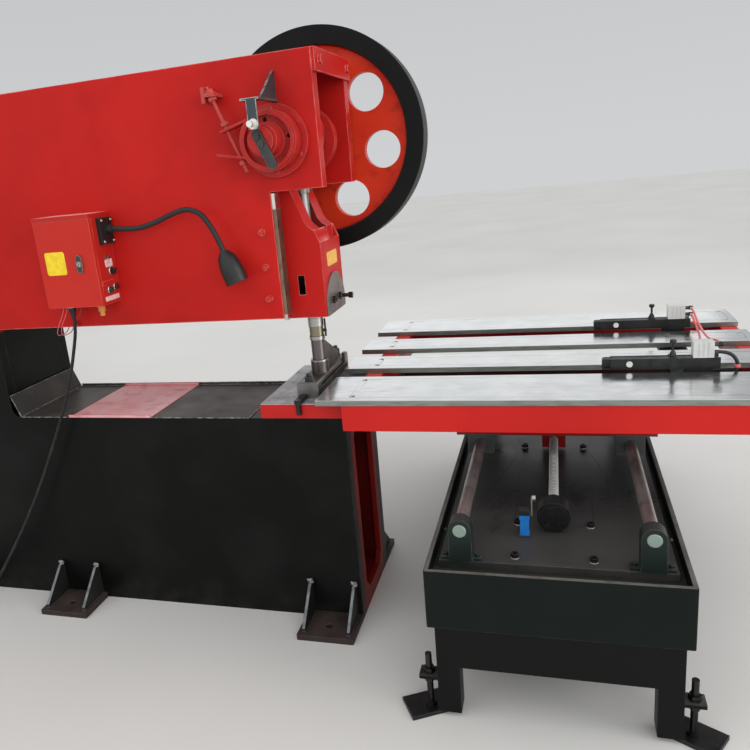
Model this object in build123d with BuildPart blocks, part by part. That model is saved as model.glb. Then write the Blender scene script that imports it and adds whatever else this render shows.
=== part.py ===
from build123d import *
from math import acos, atan2, cos, degrees, pi, radians, sin, tan
import os

# Deep-throat crank press with a feed table that carries the sheet past the punch.
# Millimetres, +Z up, floor at z = 0. X runs along the press from its rear to the
# head and on to the feed table, Y runs along the feed table's shafts.

os.makedirs("parts", exist_ok=True)

# Press frame
frame_rear = -1680
frame_end = 283
frame_near = -553
frame_width = 420
side_plate = 45
web_plate = 30
table_height = 800
throat_gap = 360
throat_depth = 1250
throat_round = 36
head_rise = 260
rear_chamfer = 160
notch_depth = 180
notch_height = 420
tie_depth = 12
tie_height = 70
base_wall_x = -130
foot_width = 214
foot_reach = 162
foot_plate = 22
foot_gusset = 12
foot_rise = 130
foot_hole = 13
foot_centres = (-1568, -934, 176)

# Tool table
punch_x = 143
bolster_left = -28
bolster_height = 54
bolster_overhang = 90
slug_hole = 20
tray_sheet = 3
tray_left = -1066
tray_right = -75
tray_lip = (-34, 90)
cover_left = -834
cover_length = 360
cover_width = 420
cover_flange = 12

# Crank, bearings and flywheel
crank_rise = 156
crank_throw = 25
journal = 40
shaft_shoulder = 52
shaft_gap = 0.05
face_gap = 0.5
web_disc = 115
web_thickness = 40
pin_radius = 45
pin_length = 130
bearing_body = 75
bearing_flange = 112
bearing_flange_far = 105
flange_thickness = 20
flange_thickness_far = 28
wheel_radius = 398
wheel_width = 95
wheel_gap = 5
rim_inner = 335
wheel_web = 35
wheel_hub = 90
wheel_holes = 7
wheel_hole_radius = 67
wheel_hole_circle = 243
wheel_hole_turn = -12.5
clutch_radius = 84
clutch_thickness = 24

# Brake and shaft-end flag
drum_radius = 88
drum_width = 55
drum_gap = 7
drum_rim = 12
hub_radius = 34
hub_reach = 55
band_thickness = 4.5
band_gap = 0.6
band_inset = 4
flag_thickness = 8
flag_width = 30
flag_length = 92
flag_turn = 24
rod_radius = 6
sensor_gap = 3
sensor_radius = 9
bracket_sheet = 6

# Connecting rod
rod_eye = 85
eye_width = 122
rod_neck = 36
rod_reach = 156
screw_radius = 21
ball_radius = 30
ball_drop = 336
nut_radius = 33
nut_height = 18

# Ram and its guides
ram_left = -15
ram_right = 227
ram_width = 240
ram_overhang = 18
ram_web_gap = 21
ram_step_rise = 62
ram_front_rise = 38
ram_slope = (-12, 37)
ram_bevel = (16, 41)
ram_stroke = 50
ball_room = 3
pocket_width = 80
guide_left = 30
guide_width = 60
guide_bite = 15
guide_gap = 0.3
gib_width = 12
gib_depth = 46
gib_screw_rises = (91, 196, 312)
knockout_slot = (135, 159, 82, 148)
clamp_disc = 114
clamp_disc_rise = 26
clamp_disc_thickness = 5
clamp_stud_rise = 46

# Punch and die
collar_radius = 28
collar_length = 105
collar_band = 36
collar_ring = 14
punch_body = 25
punch_rise = 72
punch_tip = 10
tip_gap = 2
guide_clearance = 1.5
guide_wall = 6.5
guide_rise = 50
rib_thickness = 20
rib_length = 184
rib_heights = (116, 24)
die_left = 96
die_right = 176
die_near = -490
die_far = -80
die_height = 32
sheet_slot = 10
bridge_height = 16

# Drive motor behind the arm
motor_x = -450
motor_rise = 240
motor_radius = 108
motor_length = 250
pulley_radius = 75
belt_count = 3
belt_pitch = 27
belt_top = 17
belt_bottom = 9
belt_depth = 11
groove_gap = 0.3

# Control box on the arm
box_left = -740
box_width = 225
box_rise = 94
box_height = 315
door_height = 299
box_depth = 120
box_wall = 3
door_thickness = 16
door_gap = 1
lamp_plate = (74, 90, 15)
lamp_plate_y = -593
lamp_plate_rise = 251
neck_radius = 9

# Feed table base
feed_x = 970
feed_width = 722
feed_length = 2020
feed_drop = 386
apron_height = 188
apron_plate = 14
tray_floor = 12
bed_width = 660
bed_margin = 102
bed_plate = 25
bed_drop = 20
leg = 68
leg_spacing = 610
leg_inset = 40
stand_rail = 135
lug_height = 118
pad_size = (128, 96, 14)
pad_turn = 30
shaft_spacing = 526
shaft_radius = 20
shaft_rise = 82
support_width = 68
support_depth = 50
feed_screw_radius = 16
housing_radius = 50
housing_depth = 60
housing_inset = 208
feed_travel = 600

# Feed table top
bars_left = 200
bars_length = 1480
bar_thickness = 20
bar_limits = ((-616, -335), (-225, -49), (64, 239), (374, 621))
beam_left = 290
beam_right = 1675
beam_width = 60
beam_height = 90
inner_beam_y = 150
inner_beam = (60, 50)
block_length = 110
block_width = 96
block_height = 76
block_spread = 330
carriage_width = 700
carriage_length = 460
carriage_plate = 18
riser_inset = 50

# Sheet clamps
clamp_tail = 1492
clamp_length = 360
slide_inset = 70
clamp_width = 44
clamp_ys = (-280, 306)
clamp_travel = 900
jaw_thickness = 30
jaw_nose = 24
jaw_gap = 3
pivot_x = 85
pivot_rise = 12
cross_plate = 16
cylinder_size = (62, 46, 52)
cylinder_inset = 20
valve_reach = 220
clamp_screw_radius = 10
clamp_screw_drop = 60
clamp_drive_inset = 190
clamp_motor_gap = 30
clamp_motor_length = 90

# Places worked out from the sizes above
clamp_x = clamp_tail - clamp_length
frame_far = frame_near + frame_width
inner_near = frame_near + side_plate
inner_far = frame_far - side_plate
mid_y = (frame_near + frame_far) / 2
throat_back = punch_x - throat_depth
throat_top = table_height + throat_gap
notch_x = frame_end - notch_depth
notch_top = throat_top + notch_height
crank_height = notch_top + crank_rise
head_top = crank_height + head_rise
rod_bottom = crank_height - rod_reach
ball_height = crank_height - ball_drop
ram_bottom = throat_top - ram_overhang
ram_shoulder = crank_height - web_disc - ram_web_gap
ram_step = ball_height + ram_step_rise
ram_top = ball_height + ram_front_rise
bolster_top = table_height + bolster_height
die_top = bolster_top + die_height
bridge_bottom = die_top + sheet_slot
bridge_top = bridge_bottom + bridge_height
punch_bottom = die_top + punch_rise
tip_bottom = bridge_bottom + tip_gap
guide_top = bridge_top + guide_rise
motor_height = throat_top + motor_rise
wheel_near = frame_far + flange_thickness_far + wheel_gap
wheel_far = wheel_near + wheel_width
belt_middle = (wheel_near + wheel_far) / 2
flange_near = frame_near - flange_thickness
drum_far = flange_near - drum_gap
drum_near = drum_far - drum_width
hub_near = drum_near - hub_reach
flag_near = hub_near - flag_thickness
disc_near = mid_y - pin_length / 2
disc_far = mid_y + pin_length / 2
box_near = frame_near - box_depth
box_right = box_left + box_width
box_bottom = throat_top + box_rise
box_top = box_bottom + box_height
door_top = box_bottom + door_height
lamp_plate_z = box_bottom + lamp_plate_rise
bar_top = die_top
bar_bottom = bar_top - bar_thickness
feed_top = bar_top - feed_drop
apron_bottom = feed_top - apron_height
bed_top = feed_top - bed_drop
bed_bottom = bed_top - bed_plate
bed_length = feed_length - 2 * bed_margin
shaft_height = feed_top + shaft_rise
screw_height = bed_top + housing_radius
housing_y = housing_inset - bed_length / 2
beam_bottom = bar_bottom - beam_height
inner_beam_bottom = beam_bottom - inner_beam[1]
bars_right = bars_left + bars_length


def upright(y):
    """Plane facing the viewer at y, with local x along X and local y along Z."""
    return Plane(origin=(0, y, 0), x_dir=(1, 0, 0), z_dir=(0, -1, 0))


def crosswise(x):
    """Plane across the press at x, with local x along Y and local y along Z."""
    return Plane(origin=(x, 0, 0), x_dir=(0, 1, 0), z_dir=(1, 0, 0))


def area(across, along, mode=Mode.ADD):
    """Rectangle between two limits each way, for use inside a sketch."""
    with Locations(((across[0] + across[1]) / 2, (along[0] + along[1]) / 2)):
        Rectangle(across[1] - across[0], along[1] - along[0], mode=mode)


def block(xs, ys, zs, mode=Mode.ADD):
    """Box between two limits on each axis."""
    with BuildSketch(Plane.XY.offset(zs[0])) as profile:
        area(xs, ys)
    extrude(profile.sketch, amount=zs[1] - zs[0], mode=mode)


def round_x(centre, radius, xs, mode=Mode.ADD):
    """Round bar along X at centre (y, z)."""
    with BuildSketch(crosswise(xs[0])) as profile:
        with Locations(centre):
            Circle(radius)
    extrude(profile.sketch, amount=xs[1] - xs[0], mode=mode)


def round_y(centre, radius, ys, mode=Mode.ADD):
    """Round bar along Y at centre (x, z)."""
    with BuildSketch(upright(ys[1])) as profile:
        with Locations(centre):
            Circle(radius)
    extrude(profile.sketch, amount=ys[1] - ys[0], mode=mode)


def round_z(centre, radius, zs, mode=Mode.ADD):
    """Round bar along Z at centre (x, y)."""
    with BuildSketch(Plane.XY.offset(zs[0])) as profile:
        with Locations(centre):
            Circle(radius)
    extrude(profile.sketch, amount=zs[1] - zs[0], mode=mode)


def hex_z(centre, radius, zs):
    """Hexagon head or nut along Z at centre (x, y)."""
    with BuildSketch(Plane.XY.offset(zs[0])) as profile:
        with Locations(centre):
            RegularPolygon(radius, 6)
    extrude(profile.sketch, amount=zs[1] - zs[0])


def strut(start, end, radius, sides=0, mode=Mode.ADD):
    """Round bar, or one with flat sides, between two points."""
    run = Vector(*end) - Vector(*start)
    with BuildSketch(Plane(origin=start, z_dir=run)) as profile:
        if sides:
            RegularPolygon(radius, sides)
        else:
            Circle(radius)
    extrude(profile.sketch, amount=run.length, mode=mode)


def ring_profile(points):
    """Turn a closed outline of (radius, y) points about the crank's axis."""
    with BuildSketch(Plane.XY.offset(crank_height)) as profile:
        with BuildLine():
            Polyline(*[(punch_x + radius, y) for radius, y in points], close=True)
        make_face()
    revolve(profile.sketch, axis=Axis((punch_x, 0, crank_height), (0, 1, 0)))


parts = {}


def keep(sub_part, name):
    """Label a finished piece and write its file."""
    sub_part.part.label = name
    export_step(sub_part.part, f"parts/{name}.step")
    parts[name] = sub_part.part


# Side plates of the C-frame
def side_outline():
    """C-shaped outline with the head notch, rounded throat and crank bore."""
    with BuildSketch() as outline:
        area((frame_rear, frame_end), (0, head_top))
        area((throat_back, frame_end), (table_height, throat_top), Mode.SUBTRACT)
        area((notch_x, frame_end), (throat_top, notch_top), Mode.SUBTRACT)
        fillet(outline.vertices().filter_by_position(Axis.X, throat_back - 1, throat_back + 1), throat_round)
        rear_corner = outline.vertices().group_by(Axis.X)[0].sort_by(Axis.Y)[-1]
        chamfer(rear_corner, rear_chamfer)
        with Locations((punch_x, crank_height)):
            Circle(bearing_body, mode=Mode.SUBTRACT)
    return outline.sketch


with BuildPart() as near_side_plate:
    with BuildSketch(upright(inner_near)):
        add(side_outline())
    extrude(amount=side_plate)
keep(near_side_plate, "near_side_plate")

with BuildPart() as far_side_plate:
    with BuildSketch(upright(frame_far)):
        add(side_outline())
    extrude(amount=side_plate)
keep(far_side_plate, "far_side_plate")

# Plates between the two sides, with the windowed base end and the head's tie bar
inner_ys = (inner_near, inner_far)
bulkhead_x = ram_left - 25
window_edge = 42
window_corner = 42
deck_bottom = table_height - web_plate
with BuildPart() as frame_webs:
    block((frame_rear, frame_rear + web_plate), inner_ys, (0, head_top - rear_chamfer))
    block((throat_back - web_plate, throat_back), inner_ys, (deck_bottom, throat_top + web_plate))
    block((throat_back - web_plate, bulkhead_x), inner_ys, (throat_top, throat_top + web_plate))
    block((throat_back - web_plate, frame_end), inner_ys, (deck_bottom, table_height))
    block((frame_rear + rear_chamfer, frame_end), inner_ys, (head_top - web_plate, head_top))
    block((bulkhead_x - web_plate, bulkhead_x), inner_ys, (throat_top, head_top))
    block((base_wall_x, base_wall_x + web_plate), inner_ys, (foot_plate, table_height))
    block((base_wall_x, frame_end), inner_ys, (foot_plate + 10, foot_plate + 22))
    with BuildSketch(crosswise(frame_end - 20)):
        area(inner_ys, (0, table_height))
    extrude(amount=20)
    with BuildSketch(crosswise(frame_end - 21)) as window:
        area((inner_near + window_edge, inner_far - window_edge), (64, deck_bottom - 34))
        chamfer(window.vertices(), window_corner)
    extrude(amount=22, mode=Mode.SUBTRACT)
    block((frame_end, frame_end + tie_depth), (frame_near, frame_far), (head_top - tie_height, head_top))
    for bolt_y in (frame_near + side_plate, frame_far - side_plate):
        strut((frame_end, bolt_y, head_top - tie_height / 2),
              (frame_end + tie_depth + 10, bolt_y, head_top - tie_height / 2), 15, 6)
    round_z((punch_x, mid_y), slug_hole + 8, (deck_bottom - 1, table_height + 1), Mode.SUBTRACT)
keep(frame_webs, "frame_webs")

# Floor brackets, each a drilled plate with two gussets
with BuildPart() as anchor_feet:
    for foot_x in foot_centres:
        for face_y, outward in ((frame_near, -1), (frame_far, 1)):
            tip_y = face_y + outward * foot_reach
            ys = (min(face_y, tip_y), max(face_y, tip_y))
            block((foot_x - foot_width / 2, foot_x + foot_width / 2), ys, (0, foot_plate))
            hole_y = (face_y + tip_y) / 2 + outward * 10
            round_z((foot_x, hole_y), foot_hole, (-1, foot_plate + 1), Mode.SUBTRACT)
            for gusset_x in (foot_x - foot_width / 2 + 16, foot_x + foot_width / 2 - 16 - foot_gusset):
                with BuildSketch(crosswise(gusset_x)):
                    with BuildLine():
                        Polyline((face_y, foot_plate), (tip_y - outward * 20, foot_plate),
                                 (tip_y - outward * 20, foot_plate + 14),
                                 (face_y + outward * 22, foot_plate + foot_rise),
                                 (face_y, foot_plate + foot_rise), close=True)
                    make_face()
                extrude(amount=foot_gusset)
keep(anchor_feet, "anchor_feet")

# Bolster plate on the table
bolster_far = frame_far + bolster_overhang
with BuildPart() as bolster_plate:
    block((bolster_left, frame_end), (frame_near, bolster_far), (table_height, bolster_top))
    chamfer(bolster_plate.edges().group_by(Axis.Z)[-1], 3)
    round_z((punch_x, mid_y), slug_hole, (table_height - 1, bolster_top + 1), Mode.SUBTRACT)
keep(bolster_plate, "bolster_plate")

# Sheet tray beside the bolster, with its raised end
tray_far = frame_far - 7
with BuildPart() as side_tray:
    with BuildSketch(upright(tray_far)):
        with BuildLine():
            Polyline((tray_right, table_height), (tray_left, table_height),
                     (tray_left + tray_lip[0], table_height + tray_lip[1]),
                     (tray_left + tray_lip[0] + tray_sheet, table_height + tray_lip[1] + 1),
                     (tray_left + tray_sheet, table_height + tray_sheet),
                     (tray_right, table_height + tray_sheet), close=True)
        make_face()
    extrude(amount=tray_far - frame_near + 4)
    block((tray_left + 6, tray_right), (tray_far - tray_sheet, tray_far),
          (table_height + tray_sheet, table_height + 15))
keep(side_tray, "side_tray")

# Loose cover panel lying on the tray
cover_near = tray_far - 5 - cover_width
cover_z = table_height + tray_sheet
with BuildPart() as cover_sheet:
    cover_xs = (cover_left, cover_left + cover_length)
    block(cover_xs, (cover_near, cover_near + cover_width), (cover_z, cover_z + 2))
    for flange_y in (cover_near, cover_near + cover_width - 2):
        block(cover_xs, (flange_y, flange_y + 2), (cover_z, cover_z + cover_flange))
keep(cover_sheet, "cover_sheet")

# Crank bearing housings in the two side plates
crank_centre = (punch_x, crank_height)
bearing_end_near = inner_near + 18
bearing_end_far = inner_far - 18
bearing_body_radius = bearing_body - 0.05
with BuildPart() as crank_bearings:
    round_y(crank_centre, bearing_flange, (flange_near, frame_near))
    round_y(crank_centre, bearing_body_radius, (frame_near, bearing_end_near))
    round_y(crank_centre, bearing_flange_far, (frame_far, frame_far + flange_thickness_far))
    round_y(crank_centre, bearing_body_radius, (bearing_end_far, frame_far))
    bore_ys = (flange_near - 1, frame_far + flange_thickness_far + 1)
    round_y(crank_centre, journal + shaft_gap, bore_ys, Mode.SUBTRACT)
    for bolt_angle in range(30, 390, 60):
        bolt_x = punch_x + (bearing_flange - 16) * cos(radians(bolt_angle))
        bolt_z = crank_height + (bearing_flange - 16) * sin(radians(bolt_angle))
        strut((bolt_x, flange_near, bolt_z), (bolt_x, flange_near - 4, bolt_z), 7, 6)
keep(crank_bearings, "crank_bearings")

# Crankshaft with round webs, an offset pin and the clutch collar
pin_centre = (punch_x, crank_height + crank_throw)
shaft_far = wheel_far + wheel_gap
with BuildPart() as crankshaft:
    round_y(crank_centre, journal, (hub_near, bearing_end_near + face_gap))
    round_y(crank_centre, shaft_shoulder, (bearing_end_near + face_gap, disc_near - web_thickness))
    round_y(crank_centre, web_disc, (disc_near - web_thickness, disc_near))
    round_y(pin_centre, pin_radius, (disc_near, disc_far))
    round_y(crank_centre, web_disc, (disc_far, disc_far + web_thickness))
    round_y(crank_centre, shaft_shoulder, (disc_far + web_thickness, bearing_end_far - face_gap))
    round_y(crank_centre, journal, (bearing_end_far - face_gap, shaft_far))
    round_y(crank_centre, clutch_radius, (shaft_far, shaft_far + clutch_thickness))
    with BuildSketch(upright(shaft_far + clutch_thickness + 22)):
        with Locations((punch_x, crank_height)):
            RegularPolygon(38, 6)
    extrude(amount=22)
keep(crankshaft, "crankshaft")

# Brake drum with a recessed, drilled face and its hub
with BuildPart() as brake_drum:
    round_y(crank_centre, drum_radius, (drum_near, drum_far))
    round_y(crank_centre, drum_radius - drum_rim, (drum_near, drum_near + 24), Mode.SUBTRACT)
    round_y(crank_centre, hub_radius + 22, (drum_near + 12, drum_near + 24))
    round_y(crank_centre, hub_radius + 14, (hub_near + 12, drum_near + 24))
    with BuildSketch(upright(drum_far)):
        with Locations(crank_centre):
            with PolarLocations(hub_radius + 30, 4, start_angle=8):
                Circle(7)
    extrude(amount=drum_width, mode=Mode.SUBTRACT)
    round_y(crank_centre, journal, (hub_near, drum_far), Mode.SUBTRACT)
keep(brake_drum, "brake_drum")

# Flag bar on the shaft end, which marks top dead centre
flag_direction = radians(flag_turn - 90)
flag_plane = Plane(origin=(punch_x, hub_near, crank_height),
                   x_dir=(cos(flag_direction), 0, sin(flag_direction)), z_dir=(0, -1, 0))
with BuildPart() as position_flag:
    with BuildSketch(flag_plane):
        with Locations(((flag_length - 36) / 2, 0)):
            SlotOverall(flag_length + 36, flag_width)
    extrude(amount=flag_thickness)
    with BuildSketch(flag_plane.offset(flag_thickness)):
        with Locations((-14, 0), (12, 0)):
            RegularPolygon(8, 6)
    extrude(amount=6)
keep(position_flag, "position_flag")

# Flywheel with belt grooves, drilled web and hub
groove_y = [belt_middle + (i - (belt_count - 1) / 2) * belt_pitch for i in range(belt_count)]
groove_top = belt_top / 2 + groove_gap
groove_bottom = belt_bottom / 2 + groove_gap


def rim_points(radius, near, far):
    """Rim outline from its near edge to its far edge, with one groove a belt."""
    points = [(radius, near)]
    for y in groove_y:
        points += [(radius, y - groove_top), (radius - belt_depth - groove_gap, y - groove_bottom),
                   (radius - belt_depth - groove_gap, y + groove_bottom), (radius, y + groove_top)]
    return points + [(radius, far)]


web_near = belt_middle - wheel_web / 2
web_far = belt_middle + wheel_web / 2
wheel_bore = journal + shaft_gap
with BuildPart() as flywheel:
    ring_profile([(wheel_bore, wheel_near), (wheel_hub, wheel_near), (wheel_hub + 8, web_near),
                  (rim_inner - 6, web_near), (rim_inner, wheel_near)]
                 + rim_points(wheel_radius, wheel_near, wheel_far)
                 + [(rim_inner, wheel_far), (rim_inner - 6, web_far), (wheel_hub + 8, web_far),
                    (wheel_hub, wheel_far), (wheel_bore, wheel_far)])
    with BuildSketch(upright(wheel_far)):
        with Locations(crank_centre):
            with PolarLocations(wheel_hole_circle, wheel_holes, start_angle=wheel_hole_turn):
                Circle(wheel_hole_radius)
    extrude(amount=wheel_width, mode=Mode.SUBTRACT)
keep(flywheel, "flywheel")

# Band brake round the drum, with its two ends on the left
band_inner = drum_radius + band_gap
band_outer = band_inner + band_thickness
band_ys = (drum_near + band_inset, drum_far - band_inset)
band_open = (132, 208)
band_middle = (band_ys[0] + band_ys[1]) / 2
upper_end = Vector(cos(radians(band_open[0])), sin(radians(band_open[0])))
lower_end = Vector(cos(radians(band_open[1])), sin(radians(band_open[1])))
rod_top = Vector(punch_x - 181, band_middle, crank_height + 155)
rod_foot = Vector(punch_x - 93, band_middle, crank_height - 72)
rod_way = (rod_foot - rod_top).normalized()
rod_hole = rod_radius + 0.4
with BuildPart() as brake_band:
    with BuildSketch(upright(band_ys[1])):
        with Locations(crank_centre):
            Circle(band_outer)
            Circle(band_inner, mode=Mode.SUBTRACT)
            with BuildLine():
                Polyline((0, 0), (2 * band_outer * upper_end.X, 2 * band_outer * upper_end.Y),
                         (-3 * band_outer, 0),
                         (2 * band_outer * lower_end.X, 2 * band_outer * lower_end.Y), close=True)
            make_face(mode=Mode.SUBTRACT)
            for end, turn in ((upper_end, 196), (lower_end, 170)):
                middle = end * (band_inner + band_thickness / 2)
                reach = Vector(cos(radians(turn)), sin(radians(turn))) * 46
                with Locations(Location((middle.X + reach.X - 2, middle.Y + reach.Y, 0), (0, 0, turn))):
                    Rectangle(100, 7)
            Circle(band_inner, mode=Mode.SUBTRACT)
    extrude(amount=band_ys[1] - band_ys[0])
    strut(rod_top - rod_way * 40, rod_foot + rod_way * 40, rod_hole, mode=Mode.SUBTRACT)
keep(brake_band, "brake_band")

# Threaded rod, nuts and anchor that tighten the band
with BuildPart() as brake_rod:
    strut(rod_top - rod_way * 26, rod_foot + rod_way * 14, rod_radius)
    strut(rod_top - rod_way * 14, rod_top - rod_way * 3, 15, 6)
    strut(rod_top + rod_way * 9, rod_top + rod_way * 20, 15, 6)
    strut(rod_top - rod_way * 3, rod_top, 19)
    strut(rod_top + rod_way * 92, rod_top + rod_way * 103, 13, 6)
    strut(rod_foot - rod_way * 22, rod_foot - rod_way * 10, 13, 6)
    block((rod_top.X - 24, rod_top.X + 20), (band_middle - 18, frame_near), (rod_top.Z - 6, rod_top.Z + 6))
    block((rod_top.X - 24, rod_top.X - 14), (band_middle - 18, frame_near), (rod_top.Z - 24, rod_top.Z + 24))
keep(brake_rod, "brake_rod")

# Bracket and sensor that look at the flag
sensor_tip = flag_near - sensor_gap - 6
sensor_face = sensor_tip - 26
sensor_z = crank_height + 46
shelf_z = sensor_z + 68
with BuildPart() as crank_sensor:
    block((punch_x + 12, punch_x + 12 + bracket_sheet), (frame_near - 10, frame_near), (shelf_z, shelf_z + 92))
    with BuildSketch(crosswise(punch_x + 12)):
        with BuildLine():
            Polyline((frame_near, shelf_z), (frame_near, shelf_z + 92), (frame_near - 12, shelf_z + 92),
                     (sensor_face + 40, shelf_z + 8), (sensor_face + 40, shelf_z), close=True)
        make_face()
    extrude(amount=bracket_sheet)
    block((punch_x - 34, punch_x + 24), (sensor_face, sensor_face + 70), (shelf_z, shelf_z + bracket_sheet))
    block((punch_x + 6, punch_x + 24), (sensor_face + 40, frame_near), (shelf_z, shelf_z + bracket_sheet))
    block((punch_x - 16, punch_x + 16), (sensor_face, sensor_face + bracket_sheet), (sensor_z - 14, shelf_z))
    round_y((punch_x, sensor_z), sensor_radius, (sensor_face - 34, sensor_tip))
    strut((punch_x, sensor_face, sensor_z), (punch_x, sensor_face - 8, sensor_z), 15, 6)
    strut((punch_x, sensor_face + bracket_sheet, sensor_z), (punch_x, sensor_face + 13, sensor_z), 15, 6)
keep(crank_sensor, "crank_sensor")

# Drip pipe over the crank pin
pipe_path = ((inner_near + 6, crank_height + 150), (mid_y - 96, crank_height + 152),
             (mid_y - 62, crank_height + 146), (mid_y - 44, crank_height + 128))
with BuildPart() as oil_pipe:
    with BuildLine() as pipe_line:
        FilletPolyline(*[(frame_end - 42, y, z) for y, z in pipe_path], radius=30)
    with BuildSketch(Plane(origin=pipe_line.line @ 0, z_dir=pipe_line.line % 0)):
        Circle(5)
    sweep()
    pipe_nut = (frame_end - 42, inner_near, crank_height + 150)
    strut(pipe_nut, (pipe_nut[0], inner_near + 16, pipe_nut[2]), 11, 6)
keep(oil_pipe, "oil_pipe")

# Connecting rod: big end, tapered shank and threaded hub
eye_near = mid_y - eye_width / 2
eye_far = mid_y + eye_width / 2
cap_split = 1.5
with BuildPart() as connecting_rod:
    round_y(pin_centre, rod_eye, (eye_near, eye_far))
    with BuildSketch(Plane.XY.offset(rod_bottom + 60)):
        with Locations((punch_x, mid_y)):
            Circle(rod_neck)
    with BuildSketch(Plane.XY.offset(crank_height + crank_throw - rod_eye * 0.55)):
        with Locations((punch_x, mid_y)):
            RectangleRounded(rod_eye * 1.5, eye_width - 24, 20)
    loft()
    round_z((punch_x, mid_y), rod_neck, (rod_bottom, rod_bottom + 60))
    for side in (-1, 1):
        ear = (pin_centre[0] + side * (pin_radius + 24), pin_centre[1])
        block((ear[0] - 14, ear[0] + 14), (eye_near + 14, eye_far - 14), (ear[1] - 30, ear[1] + 30))
        for bolt_y in (mid_y - 30, mid_y + 30):
            hex_z((ear[0], bolt_y), 11, (ear[1] + 30, ear[1] + 40))
    round_y(pin_centre, pin_radius + shaft_gap, (eye_near - 1, eye_far + 1), Mode.SUBTRACT)
    round_z((punch_x, mid_y), screw_radius, (rod_bottom - 1, rod_bottom + 70), Mode.SUBTRACT)
keep(connecting_rod, "connecting_rod")

# Adjusting screw with its ball end and notched lock nut
with BuildPart() as adjusting_screw:
    round_z((punch_x, mid_y), screw_radius, (ball_height + 6, rod_bottom + 70))
    with Locations((punch_x, mid_y, ball_height)):
        Sphere(ball_radius)
    with BuildSketch(Plane.XY.offset(rod_bottom - nut_height)):
        with Locations((punch_x, mid_y)):
            Circle(nut_radius)
            with PolarLocations(nut_radius, 8):
                Rectangle(8, 9, mode=Mode.SUBTRACT)
    extrude(amount=nut_height)
keep(adjusting_screw, "adjusting_screw")

# Ram with its stepped side walls, open ball pocket, guide grooves and slot
ram_near = mid_y - ram_width / 2
ram_far = mid_y + ram_width / 2
sweep_room = crank_throw + ball_room
pocket_half = rod_neck + sweep_room
with BuildPart() as ram:
    with BuildSketch(upright(ram_far)):
        with BuildLine():
            Polyline((ram_left, ram_bottom), (ram_right, ram_bottom), (ram_right, ram_top - ram_bevel[1]),
                     (ram_right - ram_bevel[0], ram_top), (punch_x + ram_slope[1], ram_step),
                     (punch_x + ram_slope[0], ram_shoulder), (ram_left, ram_shoulder), close=True)
        make_face()
    extrude(amount=ram_width)
    fillet(ram.edges().filter_by(Axis.Y).filter_by_position(Axis.Z, ram_step - 1, ram_step + 1), 60)
    pocket_bottom = ball_height - ball_radius - sweep_room - crank_throw
    block((punch_x - pocket_half, punch_x + pocket_half), (mid_y - pocket_width / 2, mid_y + pocket_width / 2),
          (pocket_bottom, ram_shoulder + 1), Mode.SUBTRACT)
    block((punch_x + pocket_half, ram_right + 1), (mid_y + 10, ram_far - 14),
          (ram_top - ram_bevel[1], ram_step), Mode.SUBTRACT)
    groove_xs = (guide_left - guide_gap, guide_left + guide_width + guide_gap)
    for groove_ys in ((ram_near - 1, ram_near + guide_bite), (ram_far - guide_bite, ram_far + 1)):
        block(groove_xs, groove_ys, (ram_bottom - 1, ram_shoulder + 1), Mode.SUBTRACT)
    slot_zs = (ram_bottom + knockout_slot[2], ram_bottom + knockout_slot[3])
    block(knockout_slot[:2], (ram_near - 1, ram_far + 1), slot_zs, Mode.SUBTRACT)
    round_z((punch_x, mid_y), collar_radius - 4, (ram_bottom - 1, ram_bottom + 70), Mode.SUBTRACT)
keep(ram, "ram")

# Arched clamp on the ram's front that grips the punch shank
clamp_z = ram_bottom + clamp_disc_rise
stud_z = ram_bottom + clamp_stud_rise
with BuildPart() as shank_clamp:
    with BuildSketch(crosswise(ram_right)):
        with Locations((mid_y, clamp_z)):
            Circle(clamp_disc)
        cut_half = clamp_disc + 1
        area((mid_y - cut_half, mid_y + cut_half), (clamp_z - cut_half, ram_bottom), Mode.SUBTRACT)
    extrude(amount=clamp_disc_thickness)
    clamp_front = ram_right + clamp_disc_thickness
    for stud_y, stud_reach in ((mid_y - 44, 16), (mid_y + 40, 34)):
        strut((clamp_front, stud_y, stud_z), (clamp_front + 10, stud_y, stud_z), 13, 6)
        strut((clamp_front + 10, stud_y, stud_z), (clamp_front + stud_reach, stud_y, stud_z), 7)
    strut((clamp_front + 34, mid_y + 40, stud_z), (clamp_front + 50, mid_y + 40, stud_z), 11, 4)
keep(shank_clamp, "shank_clamp")

# Guide rails in the ram's grooves and the bare steel gib strips in front of them
rail_gap = guide_bite - guide_gap
gib_screw_x = guide_left + guide_width / 2
with BuildPart() as ram_guides:
    for rail_ys, gib_ys in (
            ((inner_near, ram_near + rail_gap), (frame_near + 3, frame_near + 3 + gib_depth)),
            ((ram_far - rail_gap, inner_far), (frame_far - 3 - gib_depth, frame_far - 3))):
        block((guide_left, guide_left + guide_width), rail_ys, (throat_top, notch_top + 60))
        block((notch_x, notch_x + gib_width), gib_ys, (throat_top - 6, notch_top - 4))
keep(ram_guides, "ram_guides")

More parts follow.
